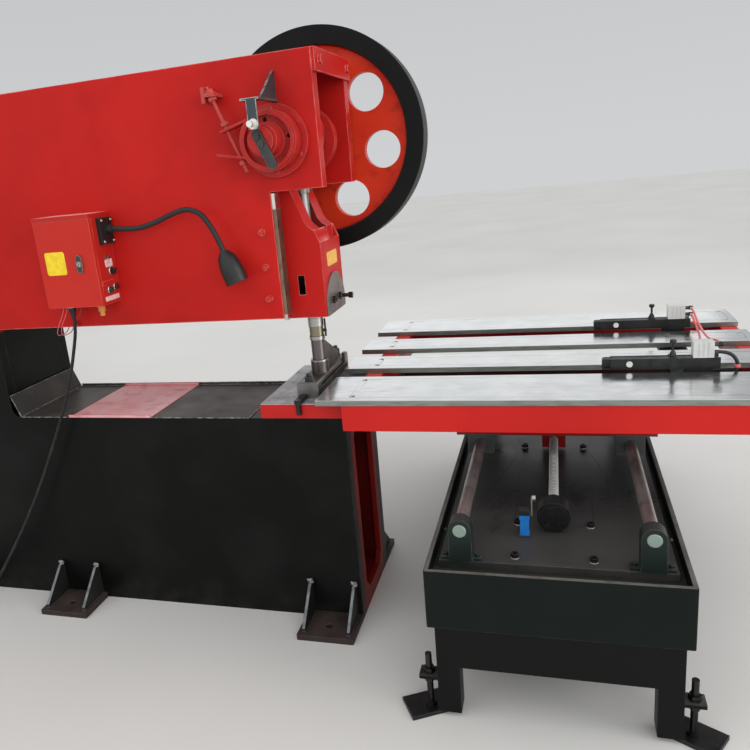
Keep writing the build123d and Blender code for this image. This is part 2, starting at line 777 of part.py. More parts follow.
# Punch holder: bright collar with its set screw, body and punch
with BuildPart() as punch_set:
    collar_bottom = ram_bottom - collar_length
    ring_top = collar_bottom + collar_ring
    band_top = ring_top + collar_band
    round_z((punch_x, mid_y), collar_radius - 4.05, (ram_bottom, ram_bottom + 70))
    round_z((punch_x, mid_y), collar_radius, (band_top, ram_bottom))
    round_z((punch_x, mid_y), collar_radius - 2, (ring_top, band_top))
    round_z((punch_x, mid_y), collar_radius, (collar_bottom, ring_top))
    round_z((punch_x, mid_y), punch_body, (punch_bottom, collar_bottom))
    round_z((punch_x, mid_y), punch_tip, (tip_bottom, punch_bottom))
    set_screw_z = ring_top + collar_band / 2
    strut((punch_x + collar_radius - 4, mid_y, set_screw_z),
          (punch_x + collar_radius + 10, mid_y, set_screw_z), 6, 6)
    block((punch_x + collar_radius + 4, punch_x + collar_radius + 9), (mid_y - 4, mid_y + 4),
          (ring_top - 4, band_top + 26))
keep(punch_set, "punch_set")

# Die block on the bolster
with BuildPart() as die_block:
    block((die_left, die_right), (die_near, die_far), (bolster_top, die_top))
    round_z((punch_x, mid_y), punch_tip + 0.4, (bolster_top - 1, die_top + 1), Mode.SUBTRACT)
keep(die_block, "die_block")

# Stripper bridge over the die, with spacers at its ends, the punch guide on top and its rib
bore = punch_body + guide_clearance
with BuildPart() as stripper_bridge:
    block((die_left, die_right), (die_near, die_far), (bridge_bottom, bridge_top))
    chamfer(stripper_bridge.edges().group_by(Axis.Z)[-1], 5)
    for spacer_y in (die_near, die_far - 48):
        block((die_left, die_right), (spacer_y, spacer_y + 48), (die_top, bridge_bottom))
    round_z((punch_x, mid_y), bore + guide_wall, (bridge_top, guide_top))
    with BuildSketch(crosswise(punch_x - rib_thickness / 2)):
        with BuildLine():
            rib_start = mid_y + collar_radius + 3
            Polyline((rib_start, bridge_top - 1), (rib_start + rib_length, bridge_top - 1),
                     (rib_start + rib_length, bridge_top + rib_heights[1]),
                     (rib_start + 10, bridge_top + rib_heights[0]),
                     (rib_start, bridge_top + rib_heights[0]), close=True)
        make_face()
    extrude(amount=rib_thickness)
    round_z((punch_x, mid_y), bore, (punch_bottom - ram_stroke - 4, guide_top + 1), Mode.SUBTRACT)
    round_z((die_right + 9, die_far - 70), 11, (bridge_bottom + 2, bridge_top + 22))
    round_z((punch_x, mid_y), punch_tip + 0.6, (bridge_bottom - 1, guide_top), Mode.SUBTRACT)
keep(stripper_bridge, "stripper_bridge")

# Square-headed screws that set the guides, bolts through the die, and the stop stud beside it
die_middle = (die_left + die_right) / 2
with BuildPart() as press_bolts:
    for screw_z in [ram_bottom + rise for rise in gib_screw_rises]:
        for face_y, outward in ((frame_near, -1), (frame_far, 1)):
            strut((gib_screw_x, face_y, screw_z), (gib_screw_x, face_y + outward * 6, screw_z), 13, 6)
            head_ys = (face_y + outward * 6, face_y + outward * 22)
            strut((gib_screw_x, head_ys[0], screw_z), (gib_screw_x, head_ys[1], screw_z), 10, 4)
    for bolt_y, nut_radius_here, nut_rise in ((die_near + 24, 15, 16), (die_far - 24, 16, 26)):
        hex_z((die_middle, bolt_y), nut_radius_here, (bridge_top, bridge_top + nut_rise))
        round_z((die_middle, bolt_y), 8, (bridge_top + nut_rise, bridge_top + nut_rise + 12))
    stud_x = die_left + 24
    stud_y = frame_near - 9
    round_z((stud_x, stud_y), 9, (bolster_top - 38, bolster_top + 16))
    block((stud_x - 12, stud_x + 12), (stud_y - 6, die_near), (bolster_top, bolster_top + 16))
keep(press_bolts, "press_bolts")

# Hollow control box, open at the front behind its door
door_back = box_near + door_thickness
selector_at = (frame_near - 36, box_bottom + 111)
start_at = (frame_near - 64, box_bottom + 48)
stop_at = (frame_near - 26, box_bottom + 54)
knob_stem = 5
button_stem = 6
hinge_centre = (box_left - 5, door_back + door_gap / 2)
hinge_heights = (box_bottom + 40, door_top - 80)
hinge_pin = 3
knuckle = 4.6
cable_x = box_left + 42
wire_x = box_left + 84
gland_y = frame_near - 46
with BuildPart() as control_box:
    block((box_left, box_right), (door_back + door_gap, frame_near), (box_bottom, box_top))
    block((box_left + box_wall, box_right - box_wall), (box_near, frame_near - box_wall),
          (box_bottom + box_wall, box_top - box_wall), Mode.SUBTRACT)
    back = frame_near - box_wall
    for row_z in (box_bottom + 60, box_bottom + 190):
        block((box_left + 20, box_right - 40), (back - 8, back), (row_z - 18, row_z + 18))
        for unit_x in (box_left + 34, box_left + 84, box_left + 134):
            block((unit_x, unit_x + 42), (back - 62, back - 8), (row_z - 36, row_z + 36))
    round_x((frame_near - 51, box_bottom + 161), 7, (box_right, box_right + 12))
    block((box_left, box_right), (box_near, door_back + door_gap), (door_top + door_gap, box_top))
    for label_y, label_z, size_y, size_z in ((-51, 147, 22, 12), (-61, 74, 78, 14), (-39, 132, 40, 10)):
        label_ys = (frame_near + label_y - size_y / 2, frame_near + label_y + size_y / 2)
        label_zs = (box_bottom + label_z - size_z / 2, box_bottom + label_z + size_z / 2)
        block((box_right, box_right + 1.5), label_ys, label_zs)
    for gland_x in (cable_x, box_right - 58):
        round_z((gland_x, gland_y), 8, (box_bottom - 1, box_bottom + box_wall + 1), Mode.SUBTRACT)
    for hinge_z in hinge_heights:
        round_z(hinge_centre, knuckle, (hinge_z, hinge_z + 18))
        round_z(hinge_centre, hinge_pin, (hinge_z + 18, hinge_z + 40))
        block((hinge_centre[0], box_left), (hinge_centre[1] + 2, hinge_centre[1] + 8), (hinge_z, hinge_z + 18))
    for stem_at, stem in ((selector_at, knob_stem), (start_at, button_stem), (stop_at, button_stem)):
        round_x(stem_at, stem + shaft_gap, (box_right - box_wall - 1, box_right + 1), Mode.SUBTRACT)
keep(control_box, "control_box")

# Door with folded edges, hinged at its left
with BuildPart() as box_door:
    block((box_left, box_right), (box_near, door_back), (box_bottom, door_top))
    block((box_left + 2, box_right - 2), (box_near + 2, door_back + 1), (box_bottom + 2, door_top - 2),
          Mode.SUBTRACT)
    fillet(box_door.edges().filter_by(Axis.Z).group_by(Axis.Y)[0], 1.5)
    lock_centre = (box_right - 62, box_bottom + 150)
    round_y(lock_centre, 9, (box_near - 1, box_near + 3), Mode.SUBTRACT)
    for hinge_z in hinge_heights:
        block((hinge_centre[0], box_left), (hinge_centre[1] - 8, hinge_centre[1] - 2),
              (hinge_z + 18.3, hinge_z + 38))
        round_z(hinge_centre, knuckle, (hinge_z + 18.3, hinge_z + 38))
        round_z(hinge_centre, hinge_pin + shaft_gap, (hinge_z + 18, hinge_z + 39), Mode.SUBTRACT)
keep(box_door, "box_door")

# Oval swing-handle lock in the door
with BuildPart() as door_lock:
    with BuildSketch(upright(box_near)):
        with Locations(Location((lock_centre[0], lock_centre[1], 0), (0, 0, 90))):
            SlotOverall(62, 24)
    extrude(amount=7)
    round_y(lock_centre, 8.9, (box_near, box_near + 10))
    block((lock_centre[0] - 7, lock_centre[0] + 7), (box_near + 5, box_near + 8),
          (lock_centre[1], lock_centre[1] + 26))
    round_y(lock_centre, 7, (box_near - 10, box_near - 7))
keep(door_lock, "door_lock")

# Controls on the box's right side
with BuildPart() as selector_knob:
    round_x(selector_at, knob_stem, (box_right - 8, box_right + 0.3))
    round_x(selector_at, 11, (box_right + 0.3, box_right + 6))
    with BuildSketch(crosswise(box_right + 6)):
        with Locations(Location((selector_at[0], selector_at[1], 0), (0, 0, 60))):
            SlotOverall(24, 8)
    extrude(amount=14)
keep(selector_knob, "selector_knob")

button_travel = 4
for button_name, button_at in (("start_button", start_at), ("stop_button", stop_at)):
    with BuildPart() as button:
        round_x(button_at, 10, (box_right + button_travel + 0.5, box_right + 12))
        fillet(button.edges().group_by(Axis.X)[-1], 2)
        round_x(button_at, button_stem, (box_right - 3, box_right + button_travel + 0.5))
    keep(button, button_name)

# Lamp arm: square foot with screws and a curved neck
foot_x = box_right + lamp_plate[2]
neck_route = ((0, 0, 5), (60, -4, 1), (130, -8, -2), (200, -12, 13), (264, -16, 36), (324, -19, 50),
              (374, -20, 32), (404, -20, -13), (424, -20, -57), (438, -20, -97))
neck_points = [(foot_x + x, lamp_plate_y + y, lamp_plate_z + z) for x, y, z in neck_route]


def cord_radii(points):
    """Arc radius at each corner, 0.45 of the shorter run over the tangent of half the turn."""
    radii = []
    for before, corner, after in zip(points, points[1:], points[2:]):
        first = Vector(*corner) - Vector(*before)
        second = Vector(*after) - Vector(*corner)
        radii.append(0.45 * min(first.length, second.length) / tan(radians(first.get_angle(second)) / 2))
    return radii


with BuildPart() as lamp_arm:
    block((box_right, foot_x), (lamp_plate_y - lamp_plate[0] / 2, lamp_plate_y + lamp_plate[0] / 2),
          (lamp_plate_z - lamp_plate[1] / 2, lamp_plate_z + lamp_plate[1] / 2))
    for corner_y in (lamp_plate_y - 28, lamp_plate_y + 28):
        for corner_z in (lamp_plate_z - 36, lamp_plate_z + 36):
            round_x((corner_y, corner_z), 5, (foot_x, foot_x + 3))
    with BuildLine() as neck_line:
        FilletPolyline(*neck_points, radius=cord_radii(neck_points))
    with BuildSketch(Plane(origin=neck_line.line @ 0, z_dir=neck_line.line % 0)):
        Circle(neck_radius)
    sweep()
    round_x((lamp_plate_y, lamp_plate_z + 5), 15, (foot_x, foot_x + 22))
keep(lamp_arm, "lamp_arm")

# Lamp head on the neck's end
lamp_start = Vector(*neck_points[-1])
lamp_way = (lamp_start - Vector(*neck_points[-2])).normalized()
lamp_side = lamp_way.cross(Vector(0, -1, 0)) * -1
with BuildPart() as lamp_head:
    lamp_plane = Plane(origin=lamp_start, x_dir=lamp_side, z_dir=lamp_way.cross(lamp_side) * -1)
    with BuildSketch(lamp_plane) as lamp_outline:
        with BuildLine():
            Spline((14, 0), (26, 16), (36, 50), (38, 96), tangents=((0.6, 1), (-0.02, 1)))
            Line((38, 96), (38, 112))
            Line((38, 112), (34, 112))
            Line((34, 112), (34, 96))
            Line((34, 96), (0, 84))
            Line((0, 84), (0, 0))
            Line((0, 0), (14, 0))
        make_face()
    revolve(axis=Axis(lamp_start, lamp_outline.workplanes[0].y_dir))
keep(lamp_head, "lamp_head")

# Cable glands under the box, and the earth wire to the arm's edge
cable_top = box_bottom - 46
with BuildPart() as cable_glands:
    for gland_x in (cable_x, box_right - 58):
        gland_centre = (gland_x, gland_y)
        round_z(gland_centre, 7.9, (box_bottom - 6, box_bottom + 10))
        hex_z(gland_centre, 16, (box_bottom - 12, box_bottom))
        round_z(gland_centre, 13, (box_bottom - 30, box_bottom - 12))
        round_z(gland_centre, 9, (cable_top, box_bottom - 30))
    round_z((wire_x, gland_y), 7, (box_bottom - 9, box_bottom))
    wire_bend = ((wire_x, gland_y, box_bottom - 6), (wire_x - 8, gland_y - 2, box_bottom - 34),
                 (wire_x - 36, gland_y + 4, box_bottom - 62), (wire_x - 62, frame_near - 8, throat_top + 12))
    with BuildLine() as wire_line:
        FilletPolyline(*wire_bend, radius=cord_radii(wire_bend))
    with BuildSketch(Plane(origin=wire_line.line @ 0, z_dir=wire_line.line % 0)):
        Circle(3)
    sweep()
    round_y((wire_x - 62, throat_top + 12), 9, (frame_near - 11, frame_near))
keep(cable_glands, "cable_glands")

# Mains cable from the gland to the floor, its coil and its plug
cord_radius = 6
coil_middle = 70
coil_rows = 3
cable_points = ((cable_x, gland_y, cable_top), (cable_x, gland_y, 1166), (-720, -600, 1094), (-757, -601, 990),
                (-806, -602, 878), (-868, -604, 762), (-938, -608, 634), (-1014, -613, 502), (-1098, -622, 370),
                (-1184, -640, 240), (-1262, -668, 124), (-1334, -708, 42), (-1404, -754, cord_radius + 2),
                (-1467, -800, cord_radius + 1), (-1522, -828, cord_radius + 1))
cable_arcs = cord_radii(cable_points)
with BuildPart() as power_cable:
    with BuildLine() as cable_line:
        FilletPolyline(*cable_points, radius=cable_arcs)
    with BuildSketch(Plane(origin=cable_line.line @ 0, z_dir=cable_line.line % 0)):
        Circle(cord_radius)
    sweep()
keep(power_cable, "power_cable")
cable_length = cable_line.wires()[0].length
print("cable radii", [round(value) for value in cable_arcs])
print("cable length", round(cable_length), "volume share",
      round(power_cable.part.volume / (pi * cord_radius**2 * cable_length), 4))

coil_outer = coil_middle + coil_rows * cord_radius
coil_inner = coil_middle - coil_rows * cord_radius
coil_height = 2 * cord_radius * coil_rows
outer_turn = coil_outer - cord_radius
cable_end = Vector(*cable_points[-1])
cable_way = (cable_end - Vector(*cable_points[-2])).normalized()
coil_centre = (cable_end.X - outer_turn * cable_way.Y, cable_end.Y + outer_turn * cable_way.X)
tail_start = (coil_centre[0] - outer_turn, coil_centre[1])
tail_height = 27
with BuildPart() as cable_coil:
    round_z(coil_centre, coil_outer, (0, coil_height))
    round_z(coil_centre, coil_inner, (-1, coil_height + 1), Mode.SUBTRACT)
    with BuildSketch(Plane(origin=(cable_end.X, cable_end.Y, -1), x_dir=cable_way, z_dir=(0, 0, 1))):
        with Locations((-50, 0)):
            Rectangle(100, 2 * cord_radius + 1)
    extrude(amount=2 * cord_radius + 3, mode=Mode.SUBTRACT)
    block((tail_start[0] - 20, tail_start[0] + cord_radius + 0.5), (tail_start[1] - 90, tail_start[1]),
          (tail_height - cord_radius - 0.5, coil_height + 1), Mode.SUBTRACT)
keep(cable_coil, "cable_coil")
print("coil centre", [round(value, 1) for value in coil_centre],
      "turns", round((5000 - cable_length - 78) / (2 * pi * coil_middle), 2))

plug_axis = (tail_start[0], tail_height)
plug_near = tail_start[1] - 78
with BuildPart() as power_plug:
    round_y(plug_axis, cord_radius, (plug_near, tail_start[1]))
    round_y(plug_axis, 14, (plug_near - 34, plug_near))
    round_y(plug_axis, 27, (plug_near - 96, plug_near - 34))
    round_y(plug_axis, 25, (plug_near - 128, plug_near - 96))
    round_y(plug_axis, 21, (plug_near - 129, plug_near - 98), Mode.SUBTRACT)
    for pin_angle in range(0, 360, 90):
        pin_at = (plug_axis[0] + 12 * cos(radians(pin_angle)), tail_height + 12 * sin(radians(pin_angle)))
        round_y(pin_at, 3, (plug_near - 124, plug_near - 96))
keep(power_plug, "power_plug")

# Motor bracket on the far plate
bracket_top = motor_height - motor_radius - 14
motor_near = wheel_far + 40
motor_far = motor_near + motor_length
bracket_xs = (motor_x - 150, motor_x + 150)
with BuildPart() as motor_bracket:
    block(bracket_xs, (frame_far, motor_far - 20), (bracket_top - 12, bracket_top))
    for gusset_x in (bracket_xs[0], bracket_xs[1] - 12):
        with BuildSketch(crosswise(gusset_x)):
            with BuildLine():
                Polyline((frame_far, bracket_top - 12), (motor_far - 60, bracket_top - 12),
                         (frame_far + 40, bracket_top - 130), (frame_far, bracket_top - 130), close=True)
            make_face()
        extrude(amount=12)
keep(motor_bracket, "motor_bracket")

# Drive motor: ribbed body, feet, terminal box and fan cover
motor_centre = (motor_x, motor_height)
with BuildPart() as drive_motor:
    round_y(motor_centre, motor_radius - 14, (motor_near, motor_far - 44))
    with BuildSketch(upright(motor_far - 56)):
        with Locations(motor_centre):
            with PolarLocations(motor_radius - 10, 24):
                Rectangle(22, 4)
    extrude(amount=motor_length - 76)
    round_y(motor_centre, motor_radius - 4, (motor_near, motor_near + 20))
    round_y(motor_centre, motor_radius, (motor_far - 56, motor_far))
    for foot_side in (-1, 1):
        foot_mid = motor_x + foot_side * (motor_radius - 10)
        block((foot_mid - 26, foot_mid + 26), (motor_near + 24, motor_far - 64),
              (bracket_top, bracket_top + 12))
        block((foot_mid - foot_side * 20 - 8, foot_mid - foot_side * 20 + 8), (motor_near + 34, motor_far - 74),
              (bracket_top + 12, motor_height - 40))
    block((motor_x - 46, motor_x + 46), (motor_near + 60, motor_near + 150),
          (motor_height + motor_radius - 30, motor_height + motor_radius + 34))
keep(drive_motor, "drive_motor")

# Motor pulley on its shaft
with BuildPart() as motor_pulley:
    pulley_points = [(0, wheel_near)] + rim_points(pulley_radius, wheel_near, wheel_far) + [(0, wheel_far)]
    with BuildSketch(Plane.XY.offset(motor_height)):
        with BuildLine():
            Polyline(*[(motor_x + radius, y) for radius, y in pulley_points], close=True)
        make_face()
    revolve(axis=Axis((motor_x, 0, motor_height), (0, 1, 0)))
    round_y(motor_centre, 19, (wheel_far, motor_near - 0.5))
    round_y(motor_centre, 60, (wheel_near - 1, wheel_near + 12), Mode.SUBTRACT)
    round_y(motor_centre, 24, (wheel_near - 1, wheel_near + 12))
keep(motor_pulley, "motor_pulley")

# V-belts from the pulley to the flywheel
centre_gap = Vector(motor_x - punch_x, motor_height - crank_height)
centre_turn = degrees(atan2(centre_gap.Y, centre_gap.X))
wheel_seat = wheel_radius - belt_depth / 2
pulley_seat = pulley_radius - belt_depth / 2
wrap = degrees(acos((wheel_seat - pulley_seat) / centre_gap.length))
with BuildPart() as drive_belts:
    for y in groove_y:
        belt_plane = Plane(origin=(punch_x, y, crank_height), x_dir=(1, 0, 0), z_dir=(0, -1, 0))
        with BuildLine(belt_plane) as belt_path:
            big = CenterArc((0, 0), wheel_seat, centre_turn + wrap, 360 - 2 * wrap)
            small = CenterArc((centre_gap.X, centre_gap.Y), pulley_seat, centre_turn - wrap, 2 * wrap)
            Line(big @ 1, small @ 0)
            Line(small @ 1, big @ 0)
        belt_wire = Wire(belt_path.edges())
        start = belt_wire @ 0
        heading = belt_wire % 0
        outward = Vector(0, 1, 0).cross(heading)
        if (start + outward - Vector(punch_x, y, crank_height)).length < wheel_seat:
            outward = outward * -1
        with BuildSketch(Plane(origin=start, x_dir=(0, 1, 0), z_dir=Vector(0, 1, 0).cross(outward))):
            with BuildLine():
                Polyline((-belt_top / 2, belt_depth / 2), (belt_top / 2, belt_depth / 2),
                         (belt_bottom / 2, -belt_depth / 2), (-belt_bottom / 2, -belt_depth / 2), close=True)
            make_face()
        sweep(path=belt_wire)
keep(drive_belts, "drive_belts")

# Tray-shaped body of the feed table
feed_xs = (feed_x - feed_width / 2, feed_x + feed_width / 2)
feed_ys = (-feed_length / 2, feed_length / 2)
well_xs = (feed_xs[0] + apron_plate, feed_xs[1] - apron_plate)
well_ys = (feed_ys[0] + apron_plate, feed_ys[1] - apron_plate)
with BuildPart() as feed_tray:
    block(feed_xs, feed_ys, (apron_bottom, feed_top))
    block(well_xs, well_ys, (bed_bottom, feed_top + 1), Mode.SUBTRACT)
    block(well_xs, well_ys, (apron_bottom - 1, bed_bottom - tray_floor), Mode.SUBTRACT)
    chamfer(feed_tray.edges().filter_by(Axis.Z).group_by(Axis.Y)[0], 3)
keep(feed_tray, "feed_tray")

# Stand: rails on six legs, with a lug at each corner
leg_xs = (feed_x - leg_spacing / 2, feed_x + leg_spacing / 2)
leg_ys = (feed_ys[0] + leg_inset, 0, feed_ys[1] - leg_inset)
lug_reach = 58
with BuildPart() as feed_stand:
    rail_bottom = apron_bottom - stand_rail
    for leg_x in leg_xs:
        rail_xs = (leg_x - leg / 2, leg_x + leg / 2)
        block(rail_xs, (leg_ys[0] - leg / 2, leg_ys[2] + leg / 2), (rail_bottom, apron_bottom))
        for leg_y in leg_ys:
            block((leg_x - leg / 2, leg_x + leg / 2), (leg_y - leg / 2, leg_y + leg / 2),
                  (pad_size[2], rail_bottom))
    for leg_y in leg_ys:
        block(leg_xs, (leg_y - leg / 2, leg_y + leg / 2), (rail_bottom, apron_bottom))
    for outward, leg_x in ((-1, leg_xs[0]), (1, leg_xs[1])):
        for leg_y in leg_ys:
            face = leg_x + outward * leg / 2
            tip = face + outward * lug_reach
            block((min(face, tip), max(face, tip)), (leg_y - 26, leg_y + 26), (lug_height, lug_height + 12))
            round_z((face + outward * 30, leg_y), 10.5, (lug_height - 1, lug_height + 13), Mode.SUBTRACT)
keep(feed_stand, "feed_stand")

# Levelling bolts on their floor pads
with BuildPart() as levelling_feet:
    for outward, leg_x in ((-1, leg_xs[0]), (1, leg_xs[1])):
        for leg_y in leg_ys:
            bolt = (leg_x + outward * (leg / 2 + 30), leg_y)
            turn = -outward * pad_turn if leg_y <= 0 else outward * pad_turn
            with BuildSketch():
                with Locations(Location((bolt[0] + outward * 14, bolt[1], 0), (0, 0, turn))):
                    Rectangle(pad_size[0], pad_size[1])
            extrude(amount=pad_size[2])
            round_z(bolt, 10, (pad_size[2], lug_height + 76))
            hex_z(bolt, 18, (lug_height + 12, lug_height + 28))
            hex_z(bolt, 18, (lug_height - 16, lug_height))
            round_z(bolt, 17, (pad_size[2], pad_size[2] + 10))
keep(levelling_feet, "levelling_feet")

# Machined bed plate with its socket screws
bed_xs = (feed_x - bed_width / 2, feed_x + bed_width / 2)
bed_ys = (-bed_length / 2, bed_length / 2)
with BuildPart() as feed_bed_plate:
    block(bed_xs, bed_ys, (bed_bottom, bed_top))
    for row_y in (bed_ys[0] + 38, bed_ys[0] + 250, 0, bed_ys[1] - 250, bed_ys[1] - 38):
        for screw_x in (-110, 110):
            round_z((feed_x + screw_x, row_y), 12, (bed_top, bed_top + 16))
            with BuildSketch(Plane.XY.offset(bed_top + 16)):
                with Locations((feed_x + screw_x, row_y)):
                    RegularPolygon(7, 6)
            extrude(amount=-9, mode=Mode.SUBTRACT)
keep(feed_bed_plate, "feed_bed_plate")

# Round-topped supports that hold the guide shafts
shaft_xs = (feed_x - shaft_spacing / 2, feed_x + shaft_spacing / 2)
support_ys = (bed_ys[0] - 8, bed_ys[1] + 8)
with BuildPart() as shaft_supports:
    for shaft_x in shaft_xs:
        for far_face in (support_ys[0] + support_depth, support_ys[1]):
            with BuildSketch(upright(far_face)):
                with Locations((shaft_x, shaft_height)):
                    Circle(support_width / 2)
                area((shaft_x - support_width / 2, shaft_x + support_width / 2), (bed_top, shaft_height))
                with Locations((shaft_x, shaft_height)):
                    Circle(shaft_radius, mode=Mode.SUBTRACT)
            extrude(amount=support_depth)
            nipple_y = far_face - support_depth / 2
            outer = shaft_x + (support_width / 2 if shaft_x > feed_x else -support_width / 2)
            way = 1 if shaft_x > feed_x else -1
            strut((outer - way * 2, nipple_y, shaft_height - 14),
                  (outer + way * 12, nipple_y, shaft_height - 6), 4)
            for bolt_side in (-1, 1):
                bolt_x = shaft_x + bolt_side * (support_width / 2 + 14)
                block((min(bolt_x - 12, shaft_x), max(bolt_x + 12, shaft_x)),
                      (nipple_y - 14, nipple_y + 14), (bed_top, bed_top + 10))
                round_z((bolt_x, nipple_y), 8, (bed_top + 10, bed_top + 20))
            round_y((shaft_x, shaft_height), shaft_radius, (far_face - support_depth, far_face), Mode.SUBTRACT)
keep(shaft_supports, "shaft_supports")

# Guide shafts along the table
with BuildPart() as guide_shafts:
    for shaft_x in shaft_xs:
        round_y((shaft_x, shaft_height), shaft_radius, (support_ys[0] - 3, support_ys[1] + 3))
    chamfer(guide_shafts.edges().filter_by(GeomType.CIRCLE), 2)
keep(guide_shafts, "guide_shafts")

# Round screw bearing housings on their feet, and the feed motor at the far end
screw_centre = (feed_x, screw_height)
far_housing_y = -housing_y - housing_depth
with BuildPart() as feed_drive:
    for housing_start in (housing_y, far_housing_y):
        with BuildSketch(upright(housing_start + housing_depth)):
            with Locations(screw_centre):
                Circle(housing_radius)
            area((feed_x - housing_radius / 2, feed_x + housing_radius / 2), (bed_top, screw_height))
        extrude(amount=housing_depth)
        with BuildSketch(upright(housing_start + housing_depth)):
            with Locations(screw_centre):
                Circle(feed_screw_radius + shaft_gap)
        extrude(amount=housing_depth, mode=Mode.SUBTRACT)
    round_y(screw_centre, housing_radius - 6, (housing_y - 8, housing_y))
    for cap_angle in range(45, 405, 90):
        cap_x = feed_x + 30 * cos(radians(cap_angle))
        cap_z = screw_height + 30 * sin(radians(cap_angle))
        strut((cap_x, housing_y - 8, cap_z), (cap_x, housing_y - 16, cap_z), 8)
    feed_motor_near = far_housing_y + housing_depth
    block((feed_x - 55, feed_x + 55), (feed_motor_near, feed_motor_near + 120), (bed_top, screw_height + 52))
    round_y(screw_centre, 44, (feed_motor_near + 120, feed_motor_near + 150))
    round_y(screw_centre, feed_screw_radius + 4, (feed_motor_near - 1, feed_motor_near + 40), Mode.SUBTRACT)
keep(feed_drive, "feed_drive")

# Feed screw between its housings
with BuildPart() as feed_screw:
    round_y(screw_centre, feed_screw_radius, (housing_y + 0.5, far_housing_y + housing_depth + 20))
keep(feed_screw, "feed_screw")

# End-of-travel switch beside the near housing
switch_x = feed_x - housing_radius - 36
switch_y = housing_y - 34
lever_pivot = (switch_y + 8, bed_top + 74)
with BuildPart() as limit_switch:
    block((switch_x - 16, switch_x + 16), (switch_y - 12, switch_y + 26), (bed_top, bed_top + 6))
    block((switch_x - 13, switch_x + 13), (switch_y - 8, switch_y + 22), (bed_top + 6, bed_top + 58))
    block((switch_x - 15, switch_x + 15), (switch_y - 9, switch_y + 24), (bed_top + 58, bed_top + 88))
    round_x(lever_pivot, 9, (switch_x + 15, switch_x + 20))
    round_x(lever_pivot, 3, (switch_x + 20, switch_x + 26))
keep(limit_switch, "limit_switch")

with BuildPart() as switch_lever:
    with BuildSketch(crosswise(switch_x + 20.3)):
        with Locations((lever_pivot[0], lever_pivot[1] + 26)):
            Rectangle(11, 62)
        with Locations(lever_pivot):
            Circle(3 + shaft_gap, mode=Mode.SUBTRACT)
    extrude(amount=4)
    round_x((lever_pivot[0], lever_pivot[1] + 52), 9, (switch_x + 24.3, switch_x + 34))
keep(switch_lever, "switch_lever")

# Carriage: four shaft bearings, a plate, risers and the screw nut
plate_bottom = shaft_height + block_height / 2
plate_top = plate_bottom + carriage_plate
nut_half = 36
riser_half = carriage_width / 2 - riser_inset
with BuildPart() as carriage:
    block((feed_x - carriage_width / 2, feed_x + carriage_width / 2),
          (-carriage_length / 2, carriage_length / 2),
          (plate_bottom, plate_top))
    for shaft_x in shaft_xs:
        for block_y in (-block_spread / 2, block_spread / 2):
            block((shaft_x - block_width / 2, shaft_x + block_width / 2),
                  (block_y - block_length / 2, block_y + block_length / 2),
                  (shaft_height - block_height / 2, plate_bottom))
    for riser_y in (-inner_beam_y, inner_beam_y):
        for riser_x in (feed_x - riser_half, feed_x + riser_half - 16, feed_x - 8):
            block((riser_x, riser_x + 16), (riser_y - inner_beam[0] / 2, riser_y + inner_beam[0] / 2),
                  (plate_top, inner_beam_bottom))
        block((feed_x - riser_half - 10, feed_x + riser_half + 10),
              (riser_y - inner_beam[0] / 2, riser_y + inner_beam[0] / 2),
              (inner_beam_bottom - 12, inner_beam_bottom))
    block((feed_x - 44, feed_x + 44), (-nut_half, nut_half), (screw_height - 34, plate_bottom))
    for shaft_x in shaft_xs:
        bore_ys = (-carriage_length, carriage_length)
        round_y((shaft_x, shaft_height), shaft_radius + shaft_gap, bore_ys, Mode.SUBTRACT)
    round_y(screw_centre, feed_screw_radius + shaft_gap, (-carriage_length, carriage_length), Mode.SUBTRACT)
keep(carriage, "carriage")

# Welded frame under the bars, with the clamp rails on its inner beams
frame_ys = (bar_limits[0][0] + 4, bar_limits[-1][1] - 4)
rail_top = beam_bottom + 14
with BuildPart() as table_frame:
    for beam_y in (frame_ys[0], frame_ys[1] - beam_width):
        block((beam_left, beam_right), (beam_y, beam_y + beam_width), (beam_bottom, bar_bottom))
    for beam_x in (beam_left, beam_right - beam_width):
        block((beam_x, beam_x + beam_width), frame_ys, (beam_bottom, bar_bottom))
    for beam_y in (-inner_beam_y, inner_beam_y):
        block((beam_left, beam_right), (beam_y - inner_beam[0] / 2, beam_y + inner_beam[0] / 2),
              (inner_beam_bottom, beam_bottom))
        block((beam_left + beam_width, beam_right - beam_width), (beam_y - 8, beam_y + 8),
              (beam_bottom, rail_top))
keep(table_frame, "table_frame")

# Four polished bars that carry the sheet
with BuildPart() as table_bars:
    for near_y, far_y in bar_limits:
        block((bars_left, bars_right), (near_y, far_y), (bar_bottom, bar_top))
        for end_x in (beam_left + beam_width / 2, beam_right - beam_width / 2):
            for hole_y in (near_y + 45, far_y - 45):
                with Locations((end_x, hole_y, bar_top)):
                    CounterSinkHole(5, 10, depth=bar_thickness)
keep(table_bars, "table_bars")

